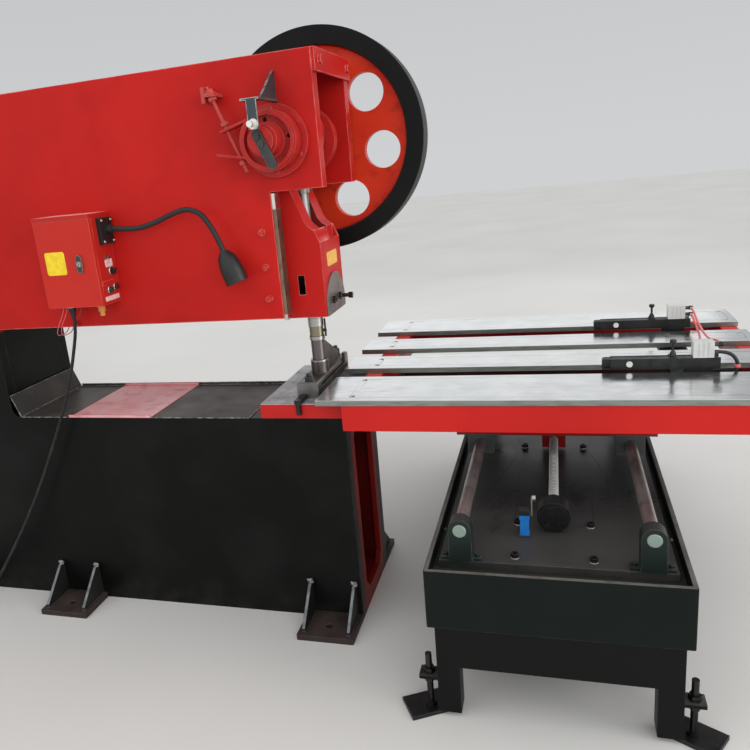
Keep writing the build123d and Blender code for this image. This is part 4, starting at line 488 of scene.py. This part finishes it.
def make_foot_paint():
    """Floor brackets: maroon-brown dusty plates and gussets ground pale along their slopes."""
    s = enamel((0.036, 0.024, 0.023), (0.026, 0.020, 0.019), rough=0.5, grime=0.5, dust=0.5,
               dust_colour=(0.085, 0.060, 0.056))
    gusset = s.past(2, 0.0235, 0.0245)
    s.mix(gusset, (0.016, 0.016, 0.015), 0.45)
    slope = s.both(gusset, s.facing(2, 0.2, 0.4))
    s.mix(s.both(slope, s.patches(40, 6, 4, 0.28, 0.6, 0.35, 1.0)), (0.20, 0.21, 0.22), 0.42, 0.5)
    s.raise_by(s.noise(60, 6, shift=2), 0.25, 0.002)
    return edge_wear_and_highlight(s, 0.6, (0.13, 0.12, 0.11), 0.003, scale=30)


def make_support_paint():
    s = enamel((0.0095, 0.0165, 0.0145), (0.014, 0.021, 0.0185), rough=0.34, grime=0.3, dust=0.4,
               dust_colour=(0.05, 0.055, 0.048))
    return edge_wear_and_highlight(s, 0.8, (0.10, 0.12, 0.105), 0.004, scale=16)


def make_shaft_metal():
    """Dull brown-grey greased shafts with grey-green end faces."""
    s = bare_metal((0.42, 0.365, 0.35), (0.30, 0.262, 0.252), rough=0.33, grain=(10, 0.4, 10),
                   grain_scale=24, stain=0.5)
    s.mix(s.patches(16, 6, 5, 0.55, 0.75, 0, 0.6, stretch=(1, 0.5, 1)), (0.34, 0.27, 0.24), 0.25)
    s.mix(s.past(1, -0.9160, -0.9165), (0.24, 0.31, 0.27), 0.42, 0.3)
    return s


def make_black_steel():
    s = bare_metal((0.056, 0.056, 0.057), (0.034, 0.034, 0.035), rough=0.34, stain=0.4)
    edge_wear_and_highlight(s, 0.7, (0.17, 0.17, 0.17), 0.0022, 1.0, 0.34, 30)
    return s


def make_bolt_look():
    """Red-painted setting screws with pale corners up on the head, rubbed paint and painted glints, and oiled
    black bolts below.
    """
    s = make_black_steel()
    red = s.past(2, 1.199, 1.201)
    s.mix(red, (0.46, 0.020, 0.016), 0.34, 0.0)
    # Pale corners: rubbed paint and painted glints.
    s.mix(s.both(red, s.edge(0.003), s.patches(60, 4, 6, 0.4, 0.6, 0.2, 0.9)), (0.72, 0.30, 0.26), 0.3)
    return s


def make_clamp_metal():
    """Black clamp bodies with bright pins."""
    s = make_black_steel()
    for middle in clamp_ys:
        body = s.between(1, middle - 0.0222, middle + 0.0222)
        s.mix(s.both(s.within((1.217, 0.907), 0.0103), s.outside(body)), (0.74, 0.74, 0.72), 0.22)
    return s


def make_cylinder_metal():
    """Satin-white aluminium blocks with black fittings."""
    s = bare_metal((0.80, 0.80, 0.78), (0.70, 0.70, 0.69), rough=0.42, stain=0.1)
    s.mix(s.past(0, 1.4724, 1.4728), (0.06, 0.06, 0.06), 0.35, 0.0)
    return s


def make_switch_look():
    """Blue switch body under a black head, with a steel edge strip."""
    s = make_plastic((0.015, 0.17, 0.52), 0.32)
    s.mix(s.past(2, 0.5520, 0.5530), (0.016, 0.016, 0.017), 0.36)
    s.mix(s.past(2, 0.4865, 0.4855), (0.03, 0.03, 0.03), 0.4)
    s.mix(s.both(s.between(2, 0.486, 0.552), s.past(1, -0.7235, -0.7225)), (0.20, 0.21, 0.21), 0.35, 0.7)
    return s


def make_gland_look():
    """Black gland with a pale nut on the left, orange one on the right, and a pink earth wire."""
    s = make_plastic((0.016, 0.016, 0.016), 0.36)
    s.mix(s.inside((-0.717, -0.679), None, (1.2415, 1.2545)), (0.42, 0.40, 0.38), 0.3, 0.8)
    s.mix(s.past(0, -0.600, -0.599), (0.58, 0.25, 0.055), 0.4)
    left_gland = s.both(s.between(0, -0.7185, -0.6785), s.past(2, 1.2065, 1.2075))
    wire = s.both(s.outside(left_gland), s.past(0, -0.599, -0.600))
    s.mix(wire, (0.34, 0.020, 0.016), 0.42)
    return s


def make_lamp_arm_look():
    """Black flexible sleeve and foot plate."""
    s = make_plastic((0.013, 0.013, 0.013), 0.42)
    sleeve = s.waves(110)
    s.mix(s.both(sleeve, 0.5, s.past(0, -0.495, -0.49)), (0.03, 0.03, 0.03))
    s.raise_by(sleeve, 0.25, 0.0006)
    s.mix(s.edge(0.0025), (0.06, 0.06, 0.06), 0.35)
    return s


def make_rubber():
    s = Surface((0.0095, 0.0095, 0.0095), 0.5, specular=0.3)
    s.mix(s.patches(30, 6, 0, 0.4, 0.7), (0.022, 0.021, 0.020))
    s.mix(s.both(s.patches(70, 6, 3, 0.55, 0.8), 0.4), (0.07, 0.065, 0.06))
    s.raise_by(s.noise(500, 2), 0.08)
    return s


def make_plastic(colour, rough):
    s = Surface(colour, rough, specular=0.35)
    s.mix(s.patches(40, 5, 0, 0.35, 0.75), dim(colour, 0.72))
    s.roughen(s.patches(90, 5, 2, 0.4, 0.7), 0.12)
    s.raise_by(s.noise(700, 2), 0.06)
    return s


def make_sticker(colour):
    """Plain film with a slightly dirty face."""
    s = Surface(colour, 0.35, specular=0.3)
    s.mix(s.patches(60, 6, 0, 0.4, 0.7), dim(colour, 0.82))
    s.mix(s.patches(220, 6, 3, 0.62, 0.75, 0, 0.4), dim(colour, 0.4))
    return s


def make_label_film():
    """Bare pale plate, pinkish with faint smears."""
    s = make_sticker((0.80, 0.58, 0.55))
    s.mix(s.patches(190, 3, 5, 0.52, 0.62, 0, 0.5), (0.55, 0.14, 0.13))
    return s


def make_screw_metal():
    """Bright rolled thread with dull patches and faint stains, and painted shade darkening its grooves."""
    s = bare_metal((0.93, 0.93, 0.94), (0.80, 0.79, 0.79), rough=0.36, stain=0.08)
    s.metal = 0.45
    # Painted shade: the thread's grooves, inside the crest radius, are darker.
    crests = s.maths("MAXIMUM", s.both(s.within(feed_screw_middle, 0.0152), s.past(2, 0.71, 0.70)),
                     s.both(s.within(clamp_screw_middle, 0.0094, (1, 2)), s.past(2, 0.70, 0.71)))
    s.mix(crests, (0.15, 0.145, 0.14), 0.45)
    return s


def make_weld_metal():
    """Pale ground weld with dark specks."""
    s = Surface((0.34, 0.34, 0.34), 0.45, metal=0.3)
    s.mix(s.patches(150, 5, 0, 0.42, 0.6, 0, 0.9), (0.07, 0.065, 0.06))
    s.raise_by(s.noise(220, 4, shift=3), 0.5, 0.002)
    return s


def make_disc_metal():
    """Worn shank clamp, oily low down and dark on its front."""
    s = bare_metal((0.33, 0.27, 0.25), (0.24, 0.19, 0.17), rough=0.38, stain=0.5)
    s.mix(s.both(s.past(2, 1.22, 1.15), s.patches(24, 7, 8, 0.35, 0.65, 0, 0.8)), (0.08, 0.055, 0.045), 0.4)
    s.mix(s.past(0, 0.2322, 0.2326), (0.045, 0.038, 0.036), 0.34)
    return edge_wear_and_highlight(s, 0.9, (0.62, 0.56, 0.53), 0.002, 1.0, 0.3)


def make_flag_metal():
    s = bare_metal((0.075, 0.078, 0.078), (0.055, 0.056, 0.056), rough=0.36, stain=0.3)
    return edge_wear_and_highlight(s, 0.8, (0.30, 0.27, 0.25), 0.002, 1.0, 0.35)


def make_red_enamel():
    s = enamel(RED, DEEP_RED, rough=0.28)
    return edge_wear_and_highlight(s, 0.4, WORN_RED, 0.002, scale=10)


def make_stand_paint():
    s = enamel((0.0036, 0.0042, 0.0038), (0.0055, 0.0062, 0.0056), rough=0.36, dust=0.2, specular=0.12)
    return edge_wear_and_highlight(s, 0.4, (0.06, 0.06, 0.055), 0.003)


def make_motor_paint():
    return enamel((0.060, 0.095, 0.115), (0.045, 0.075, 0.09), rough=0.36)


def make_lamp_look():
    s = make_plastic((0.012, 0.0128, 0.0128), 0.36)
    s.mix(s.patches(12, 6, 4, 0.45, 0.7, 0, 0.7), (0.022, 0.022, 0.022))
    return s


# Each look, the function that makes it and the CAD nodes it dresses
own_looks = (
    ("frame", make_frame_paint, "near_side_plate far_side_plate frame_webs"),
    ("foot", make_foot_paint, "anchor_feet"),
    ("tray", make_tray_paint, "side_tray"),
    ("apron", make_apron_paint, "feed_tray"),
    ("stand", make_stand_paint, "feed_stand"),
    ("bed", make_bed_paint, "feed_bed_plate"),
    ("crank_red", make_crank_red, "crank_bearings crankshaft brake_drum brake_band connecting_rod"),
    ("rod_red", make_rod_paint, "brake_rod"),
    ("ram", make_ram_paint, "ram"),
    ("carriage", make_carriage_paint, "carriage"),
    ("table_red", make_table_red, "table_frame"),
    ("red", make_red_enamel, "motor_bracket"),
    ("bolster", make_bolster_paint, "bolster_plate"),
    ("cover", make_cover_paint, "cover_sheet"),
    ("box", make_box_paint, "control_box"),
    ("door", make_door_paint, "box_door"),
    ("lock", make_lock_look, "door_lock"),
    ("wheel", make_wheel_paint, "flywheel"),
    ("lamp", make_lamp_look, "lamp_head"),
    ("lamp_arm", make_lamp_arm_look, "lamp_arm"),
    ("bridge", make_bridge_metal, "stripper_bridge"),
    ("die", make_die_metal, "die_block"),
    ("disc", make_disc_metal, "shank_clamp"),
    ("guide", make_guide_metal, "ram_guides"),
    ("punch", make_punch_metal, "punch_set"),
    ("bolts", make_bolt_look, "press_bolts"),
    ("shaft", make_shaft_metal, "guide_shafts"),
    ("sensor", make_sensor_metal, "crank_sensor"),
    ("flag", make_flag_metal, "position_flag"),
    ("cylinder", make_cylinder_metal, "clamp_cylinders"),
    ("clamp", make_clamp_metal, "clamp_slide near_jaw far_jaw"),
    ("black_steel", make_black_steel, "clamp_drive levelling_feet feed_drive"),
    ("support", make_support_paint, "shaft_supports"),
    ("bars", make_ground_bars, "table_bars"),
    ("rubber", make_rubber, "drive_belts power_cable cable_coil"),
    ("gland", make_gland_look, "cable_glands"),
    ("switch", make_switch_look, "limit_switch"),
    ("motor", make_motor_paint, "drive_motor"),
    ("label", make_label_film, ""),
    ("screw", make_screw_metal, ""),
    ("weld", make_weld_metal, ""),
)
# Colour, shade, roughness, stain and nodes
plain_metals = {
    "steel": ((0.36, 0.36, 0.35), (0.26, 0.25, 0.235), 0.28, 0.25, "adjusting_screw"),
    "bright": ((0.66, 0.67, 0.66), (0.54, 0.54, 0.52), 0.16, 0.1, "feed_screw clamp_screw motor_pulley"),
    "zinc": ((0.48, 0.47, 0.42), (0.36, 0.35, 0.30), 0.34, 0.25, "switch_lever"),
    "pipe": ((0.66, 0.42, 0.38), (0.54, 0.32, 0.28), 0.34, 0.2, "oil_pipe"),
}
# Colour, roughness and nodes
plain_plastics = {
    "black_plastic": ((0.014, 0.014, 0.015), 0.36, "selector_knob power_plug"),
    "green_plastic": ((0.012, 0.050, 0.020), 0.3, "start_button"),
    "red_plastic": ((0.10, 0.010, 0.009), 0.3, "stop_button"),
    "hose_pink": ((0.74, 0.145, 0.150), 0.30, ""),
    "hose_red": ((0.70, 0.085, 0.040), 0.32, ""),
    "hose_black": ((0.020, 0.022, 0.021), 0.34, ""),
}
plain_films = {"yellow": (0.86, 0.62, 0.022), "amber": (0.84, 0.44, 0.050)}
materials = {}
node_looks = {}


def add_look(look, surface, names=""):
    """Finish a surface as a material of this name and note the CAD nodes it dresses."""
    materials[look] = surface.done(look)
    for name in names.split():
        node_looks[name] = look


def make_materials():
    for look, make, names in own_looks:
        add_look(look, make(), names)
    for look, (colour, shade, rough, stain, names) in plain_metals.items():
        add_look(look, bare_metal(colour, shade, rough, stain=stain), names)
    for look, (colour, rough, names) in plain_plastics.items():
        add_look(look, make_plastic(colour, rough), names)
    for look, colour in plain_films.items():
        add_look(look, make_sticker(colour))


plate_edge = 0.0025
fine_edge = 0.0012


def dress_nodes():
    """Give each CAD node its material, soft edges and smooth shading."""
    for name, look in node_looks.items():
        node = nodes[name]
        node.data.materials.clear()
        node.data.materials.append(materials[look])
        soften(node, plate_edge if name in ("anchor_feet", "feed_tray", "feed_stand") else fine_edge)


def soften(piece, width):
    """Shade smooth with small rounded edges and flat faces kept flat."""
    for face in piece.data.polygons:
        face.use_smooth = True
    join = piece.modifiers.new("weld", "WELD")
    join.merge_threshold = 1e-5
    edges = piece.modifiers.new("edges", "BEVEL")
    edges.width = width
    edges.segments = 2
    edges.limit_method = "ANGLE"
    edges.angle_limit = radians(32)
    edges.use_clamp_overlap = True
    flat = piece.modifiers.new("flat", "WEIGHTED_NORMAL")
    flat.weight = 80


# Camera
camera_place = (0.985, -2.880, 1.640)
camera_yaw = radians(18.326)
camera_pitch = radians(15.931)
camera_roll = radians(-5.894)
focal_pixels = 740.5
optical_centre = (322.1, 380.1)
image_size = 750
sensor = 36.0


def make_camera():
    data = bpy.data.cameras.new("camera")
    data.sensor_width = sensor
    data.lens = focal_pixels / image_size * sensor
    data.shift_x = (image_size / 2 - optical_centre[0]) / image_size
    data.shift_y = (optical_centre[1] - image_size / 2) / image_size
    data.clip_end = 100
    camera = bpy.data.objects.new("camera", data)
    level_right = Vector((cos(camera_yaw), sin(camera_yaw), 0))
    level_forward = Vector((-sin(camera_yaw), cos(camera_yaw), 0))
    forward = level_forward * cos(camera_pitch) - Vector((0, 0, sin(camera_pitch)))
    level_up = level_right.cross(forward)
    right = cos(camera_roll) * level_right + sin(camera_roll) * level_up
    up = cos(camera_roll) * level_up - sin(camera_roll) * level_right
    turn = Matrix((right, up, -forward)).transposed().to_4x4()
    camera.matrix_world = Matrix.Translation(camera_place) @ turn
    scene.collection.objects.link(camera)
    scene.camera = camera


# Floor, lamps and world
roof_direction = (-0.28, 0.82, -1.0)
roof_strength = 1.95
roof_spread = radians(150)
# Name, place, target, size and power
lamps = (
    ("front_light", (2.9, -5.0, 2.8), (0.2, 0, 1.0), (4, 2.6), 55),
    ("window_light", (-1.2, 6.5, 2.6), (0.9, 0, 0.9), (9, 2.6), 34),
    ("side_light", (8.6, -2.2, 3.4), (0.2, -0.2, 1.2), (5, 4), 230),
)
world_tints = ((0.0, (0.62, 0.63, 0.64, 1)), (0.5, (0.49, 0.50, 0.51, 1)))


def make_floor():
    mesh = bpy.data.meshes.new("floor")
    side = 30
    corners = [(x * side, y * side, 0) for x, y in ((-1, -1), (1, -1), (1, 1), (-1, 1))]
    mesh.from_pydata(corners, [], [(0, 1, 2, 3)])
    floor = bpy.data.objects.new("floor", mesh)
    scene.collection.objects.link(floor)
    s = Surface((0.64, 0.63, 0.61), 0.55)
    s.mix(s.patches(0.6, 5, 0, 0.3, 0.75), (0.58, 0.57, 0.55))
    mesh.materials.append(s.done("floor"))


def add_lamp(name, place, target, size, power):
    data = bpy.data.lights.new(name, "AREA")
    data.shape = "RECTANGLE"
    data.size, data.size_y = size
    data.energy = power
    lamp = bpy.data.objects.new(name, data)
    lamp.location = place
    lamp.rotation_euler = (Vector(target) - Vector(place)).to_track_quat("-Z", "Y").to_euler()
    lamp.visible_camera = False
    scene.collection.objects.link(lamp)


def make_light():
    data = bpy.data.lights.new("roof_light", "SUN")
    data.energy = roof_strength
    data.angle = roof_spread
    roof = bpy.data.objects.new("roof_light", data)
    roof.rotation_euler = Vector(roof_direction).to_track_quat("-Z", "Y").to_euler()
    scene.collection.objects.link(roof)
    for lamp in lamps:
        add_lamp(*lamp)
    # From behind, the polished bars would mirror this lamp on top of the roof light and clip to white.
    bpy.data.objects["front_light"].visible_glossy = False
    world = bpy.data.worlds.new("studio")
    world.use_nodes = True
    scene.world = world
    tree = world.node_tree
    backdrop = tree.nodes["Background"]
    place = tree.nodes.new("ShaderNodeTexCoord")
    split = tree.nodes.new("ShaderNodeSeparateXYZ")
    tree.links.new(place.outputs["Generated"], split.inputs[0])
    ramp = tree.nodes.new("ShaderNodeValToRGB")
    for stop, (position, tint) in zip(ramp.color_ramp.elements, world_tints):
        stop.color = tint
        stop.position = position
    tree.links.new(split.outputs[2], ramp.inputs[0])
    tree.links.new(ramp.outputs[0], backdrop.inputs["Color"])
    scene.view_settings.view_transform = "Standard"


# Mesh helpers
fine_sides = 20


def add_mesh(name, points, faces, look, body, slot):
    mesh = bpy.data.meshes.new(name)
    mesh.from_pydata(points, [], faces)
    mesh.validate()
    mesh.materials.append(materials[look])
    piece = bpy.data.objects.new(name, mesh)
    scene.collection.objects.link(piece)
    for face in mesh.polygons:
        face.use_smooth = True
    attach(piece, body)
    return piece


def skin(rows, steps, ring=False):
    """Faces between rows of points. A ring's last row joins its first, and any other form gets end faces."""
    faces = []
    for row in range(rows if ring else rows - 1):
        here, after = row * steps, (row + 1) % rows * steps
        for i in range(steps):
            j = (i + 1) % steps
            faces.append((here + i, here + j, after + j, after + i))
    if not ring:
        faces.append(tuple(reversed(range(steps))))
        faces.append(tuple(range((rows - 1) * steps, rows * steps)))
    return faces


def lathe(profile, centre, along, steps=32, ring=False):
    """Points and faces of a turned form: profile pairs are (radius, distance along the axis)."""
    way = Vector(along).normalized()
    side = way.orthogonal().normalized()
    other = way.cross(side)
    points = []
    for radius, far in profile:
        for i in range(steps):
            turn = 2 * pi * i / steps
            points.append(Vector(centre) + way * far + (side * cos(turn) + other * sin(turn)) * radius)
    return points, skin(len(profile), steps, ring)


def merge(forms):
    """One list of points and faces from several."""
    points, faces = [], []
    for some_points, some_faces in forms:
        start = len(points)
        points += some_points
        faces += [tuple(i + start for i in face) for face in some_faces]
    return points, faces


def plate(corners, thickness):
    """A thin rounded sheet from four corners, laid proud of the surface they lie on."""
    a, b, c, d = (Vector(v) for v in corners)
    normal = (b - a).cross(d - a).normalized()
    round_by = 0.12
    corner_steps = 4
    points, outline = [], []
    for corner, before, after in ((a, d, b), (b, a, c), (c, b, d), (d, c, a)):
        for k in range(corner_steps + 1):
            turn = k / corner_steps
            first = corner + (before - corner) * round_by
            last = corner + (after - corner) * round_by
            outline.append(first * (1 - turn) ** 2 + corner * 2 * turn * (1 - turn) + last * turn ** 2)
    middle = (a + b + c + d) / 4
    rings = ((1.0, 0.0), (1.0, thickness * 0.8), (0.985, thickness), (0.6, thickness))
    for scale, lift in rings:
        points += [middle + (v - middle) * scale + normal * lift for v in outline]
    return points, skin(len(rings), len(outline))


def make_stickers():
    """Plain films on the door and the ram's front, and bare light plates beside the controls."""
    door_face = -0.6732
    (left, right), (low, high) = (-0.7140, -0.6340), (1.3700, 1.4500)
    corners = [(x, door_face, z) for x, z in ((left, low), (right, low), (right, high), (left, high))]
    add_mesh("door_film", *plate(corners, 0.0004), "yellow", "door", "red_plastic")
    for name, face, (near, far), (low, high), thickness, look, body in (
            ("ram_film", 0.2271, (-0.4000, -0.2760), (1.3070, 1.3560), 0.0004, "amber", "ram"),
            ("pilot_plate", -0.5134, (-0.620, -0.574), (1.3805, 1.4075), 0.0005, "label", "press"),
            ("button_plate", -0.5149, (-0.651, -0.563), (1.2645, 1.2815), 0.0005, "label", "press")):
        corners = [(face, y, z) for y, z in ((near, low), (far, low), (far, high), (near, high))]
        add_mesh(name, *plate(corners, thickness), look, body, "red_plastic")


def screw_head(centre, along, radius):
    """Domed head with a turned rim."""
    rise = 0.45 * radius
    profile = [(radius, -0.0002)]
    profile += [(out * radius, up * rise) for out, up in ((1, 0.45), (0.93, 0.75), (0.6, 1), (0.32, 1.02),
                                                          (0.26, 0.5))]
    profile.append((0.0002, 0.4 * rise))
    return lathe(profile, centre, along, fine_sides)


def make_box_fittings():
    """Screws on the lamp plate and bright bezels round the knob, buttons and pilot light."""
    x, y, z = lamp_plate_middle
    heads = [screw_head((x, y + dy, z + dz), (1, 0, 0), 0.0056)
             for dy in (-0.028, 0.028) for dz in (-0.036, 0.036)]
    add_mesh("lamp_plate_screws", *merge(heads), "bright", "press", "zinc_steel")
    bezel_seat = -0.515
    bezel = ((0, 0), (0, 0.0042), (0.0012, 0.0052), (0.0032, 0.0046), (0.0040, 0.0022), (0.0040, 0))
    bezels = []
    for y, z, bore in ((-0.589, 1.365, 0.0116), (-0.617, 1.302, 0.0104), (-0.579, 1.308, 0.0104)):
        profile = [(bore + wall, rise) for wall, rise in bezel]
        bezels.append(lathe(profile, (bezel_seat, y, z), (1, 0, 0), 36, True))
    add_mesh("control_bezels", *merge(bezels), "bright", "press", "zinc_steel")


def threaded(name, node, start, end, radius, pitch, depth):
    """A screw with a helical trapezoid thread, which stands for its plain CAD node."""
    sides = 28
    start, end = Vector(start), Vector(end)
    way = (end - start).normalized()
    side = way.orthogonal().normalized()
    other = way.cross(side)
    length = (end - start).length
    per_turn = 8
    run_out = 0.004
    flank_start, flank_slope = 2.2, 8
    rows = int(length / pitch * per_turn)
    points = []
    for row in range(rows + 1):
        far = row * pitch / per_turn
        for i in range(sides):
            turn = 2 * pi * i / sides
            phase = (row / per_turn - i / sides) % 1.0
            fade = min(1.0, far / run_out, (length - far) / run_out)
            cut = min(1.0, max(0.0, flank_start - abs(phase - 0.5) * flank_slope)) * max(fade, 0)
            points.append(start + way * far + (side * cos(turn) + other * sin(turn)) * (radius - depth * cut))
    piece = add_mesh(name, points, skin(rows + 1, sides), "screw", node, "polished_steel")
    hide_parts(node)


def make_threads():
    """The thread of the feed screw along Y and of the clamp screw along X."""
    x, z = feed_screw_middle
    threaded("feed_screw_thread", "feed_screw", (x, -0.6995, z), (x, 0.720, z), 0.016, 0.012, 0.0030)
    y, z = clamp_screw_middle
    threaded("clamp_screw_thread", "clamp_screw", (0.3625, y, z), (1.514, y, z), 0.010, 0.010, 0.0018)


# Mains cable, with the route's points from the part's source
cord_radius = 0.006
cable_points = ((-698, -599, 1208), (-698, -599, 1166), (-720, -600, 1094), (-757, -601, 990),
                (-806, -602, 878), (-868, -604, 762), (-938, -608, 634), (-1014, -613, 502),
                (-1098, -622, 370), (-1184, -640, 240), (-1262, -668, 124), (-1334, -708, 42),
                (-1404, -754, 8), (-1467, -800, 7), (-1522, -828, 7))
coil_centre = Vector((-1.4848, -0.9011))
coil_row_radii = (0.082, 0.070, 0.058, 0.058, 0.070, 0.082, 0.082)
coil_row_heights = (0.007, 0.006, 0.006, 0.018, 0.018, 0.018, 0.029)
coil_turns = len(coil_row_radii)
coil_steps = 16


def curve_object(name, points, radius, material):
    """A round tube along a smooth open spline with these control points."""
    curve = bpy.data.curves.new(name, "CURVE")
    curve.dimensions = "3D"
    curve.bevel_depth = radius
    curve.bevel_resolution = 4
    curve.resolution_u = 8
    curve.use_fill_caps = True
    spline = curve.splines.new("NURBS")
    spline.points.add(len(points) - 1)
    for point, place in zip(spline.points, points):
        point.co = (*place, 1)
    spline.order_u = 3
    spline.use_endpoint_u = True
    curve.materials.append(material)
    tube = bpy.data.objects.new(name, curve)
    scene.collection.objects.link(tube)
    return tube


def coil_points():
    """Control points of the wound turns, row by row, from the cable's end to the plug's tail."""
    start = Vector(cable_points[-1][:2]) * MM - coil_centre
    first = start.angle_signed(Vector((1, 0)))
    total = pi - first + coil_turns * 2 * pi
    count = int(total / (2 * pi) * coil_steps)
    bulge = 2 / (1 + cos(2 * pi / coil_steps))
    points = []
    for i in range(2, count - 1):
        turned = total * i / count
        row = min(int(turned / (2 * pi)), coil_turns - 1)
        radius, height = coil_row_radii[row], coil_row_heights[row]
        angle = first + turned
        out = radius * bulge
        points.append((coil_centre.x + out * cos(angle), coil_centre.y + out * sin(angle), height))
    return points


def make_cable():
    route = [tuple(value * MM for value in point) for point in cable_points]
    tail = (coil_centre.x - coil_row_radii[-1], coil_centre.y, 0.027)
    route += coil_points() + [(tail[0], tail[1] + 0.022, 0.028), tail]
    cable = curve_object("mains_cable", route, cord_radius, materials["rubber"])
    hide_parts("power_cable", "cable_coil")
    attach(cable, "press")


# Air hoses between the clamps and two thin wires under the control box
hose_x = 1.495
fitting_rises = (0.964, 0.938)


def add_cord(name, points, radius, look, body):
    """A free hose or wire that leaves the object at its first point and goes back into it at its last."""
    cord = curve_object(name, points, radius, materials[look])
    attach(cord, body)


def make_hoses():
    """Two hoses across from clamp to clamp, and a loop at each that dives through the slot to the slide."""
    near, far = clamp_ys
    for name, rise, low, last_x, reach in (("upper_hose", fitting_rises[0], 0.930, hose_x, 0.020),
                                           ("lower_hose", fitting_rises[1], 0.900, 1.470, 0.0275)):
        last_y = near + reach
        mid_rise = (rise + low) / 2
        points = [(hose_x, far - 0.020, rise), (hose_x, far - 0.052, rise), (hose_x, far - 0.130, mid_rise),
                  (hose_x + 0.001, far - 0.215, low), (last_x, near + 0.215, low),
                  (last_x, near + 0.130, mid_rise), (last_x, last_y + 0.032, rise), (last_x, last_y, rise)]
        add_cord(name, points, 0.004, "hose_pink", "clamps")
    low = 0.842
    for name, y, look, start, radius in (("near_loop", near, "hose_black", (1.4886, fitting_rises[1]), 0.006),
                                         ("far_loop", far - 0.009, "hose_red", (1.4923, 0.907), 0.004)):
        bend = (start[1] - low) / 2
        middle = (start[0] + 0.009, low + bend)
        corner = bend / cos(pi / 8)
        points = [(start[0], y, start[1])]
        points += [(middle[0] + corner * cos(turn), y, middle[1] + corner * sin(turn))
                   for turn in (pi * 3 / 8, pi / 8, -pi / 8, -pi * 3 / 8)]
        points.append((1.4724, y, low))
        add_cord(name, points, radius, look, "clamps")
        profile = [(radius + wall, rise) for wall, rise in ((0.0002, -0.006), (0.0022, -0.005), (0.0027, 0),
                                                            (0.0022, 0.005), (0.0002, 0.006))]
        ring = lathe(profile, (middle[0] + bend, y, middle[1]), (0, 0, 1), fine_sides, True)
        add_mesh(name + "_ring", *ring, "hose_pink", "clamps", "cable_rubber")


def make_elbows():
    """Black push-in elbows on the cylinders' fittings, with pale collars."""
    knuckle = ((0.0001, 0.0158), (0.0062, 0.0155), (0.0080, 0.0135), (0.0082, 0.0015), (0.0074, -0.0002))
    spout = ((0.0066, 0.002), (0.0066, 0.015), (0.0056, 0.0165), (0.0036, 0.0168))
    collar = ((0.0042, 0.0160), (0.0064, 0.0165), (0.0064, 0.0195), (0.0042, 0.0200))
    stub = ((0.0068, -0.0002), (0.0068, 0.004), (0.0042, 0.0046))
    near, far = clamp_ys
    upper, lower = fitting_rises
    bodies, collars = [], []
    for y, rise, toward in ((near, upper, 1), (far, upper, -1), (far, lower, -1)):
        bodies.append(lathe(knuckle, (1.4872, y, rise), (1, 0, 0), fine_sides))
        bodies.append(lathe(spout, (hose_x, y, rise), (0, toward, 0), fine_sides))
        collars.append(lathe(collar, (hose_x, y, rise), (0, toward, 0), fine_sides, True))
    bodies.append(lathe(stub, (1.470, near + 0.023, lower), (0, 1, 0), fine_sides))
    add_mesh("hose_elbows", *merge(bodies), "black_plastic", "clamps", "black_plastic")
    add_mesh("elbow_collars", *merge(collars), "label", "clamps", "black_plastic")


def make_wires():
    """Two pink wires from under the control box round the arm's lower edge to its floor."""
    drop = ((-0.728, -0.604, 1.2535), (-0.730, -0.604, 1.236), (-0.748, -0.602, 1.205),
            (-0.775, -0.597, 1.170))
    turn_in = ((-0.800, -0.580, 1.136), (-0.812, -0.540, 1.127), (-0.815, -0.490, 1.130),
               (-0.815, -0.468, 1.1598))
    for name, shift in (("left_wire", 0.0), ("right_wire", 0.014)):
        points = [(x + shift, y, z) for x, y, z in drop]
        points += [(x + 1.5 * shift, y, z) for x, y, z in turn_in]
        add_cord(name, points, 0.0016, "hose_pink", "press")


def lump(centre, size, seed):
    """An uneven bead of weld metal, about size across."""
    rings, steps = 9, 14
    polar_gap = 0.15
    points = []
    for i in range(rings + 1):
        up = polar_gap + (pi - 2 * polar_gap) * i / rings
        for k in range(steps):
            turn = 2 * pi * k / steps
            swell = 1 + 0.16 * sin(3 * turn + seed * 1.7 + 2 * up) + 0.12 * sin(5 * up + seed)
            way = Vector((sin(up) * cos(turn), sin(up) * sin(turn), cos(up))) * swell
            points.append(Vector(centre) + Vector((way.x * size[0], way.y * size[1], way.z * size[2])))
    return points, skin(rings + 1, steps)


def make_welds():
    """Weld beads where the floor brackets' gussets end against the side plates."""
    top = 0.1545
    beads = []
    seed = 0
    for foot_x in foot_xs:
        for plate_y, outward in zip(side_plate_faces, (-1, 1)):
            for side in (-0.085, 0.085):
                seed += 1
                x = foot_x + side
                for dx, out, drop, size, more in ((-0.004, 0.007, 0.0, (0.0125, 0.007, 0.0065), 0),
                                                  (0.005, 0.016, 0.0025, (0.0075, 0.008, 0.0045), 0.5)):
                    centre = (x + dx, plate_y + outward * out, top - drop)
                    beads.append(lump(centre, size, seed + more))
    add_mesh("gusset_welds", *merge(beads), "weld", "press", "black_plastic")


make_camera()
make_materials()
make_cable()
make_hoses()
make_wires()
make_elbows()
dress_nodes()
make_floor()
make_light()
make_stickers()
make_box_fittings()
make_threads()
make_welds()
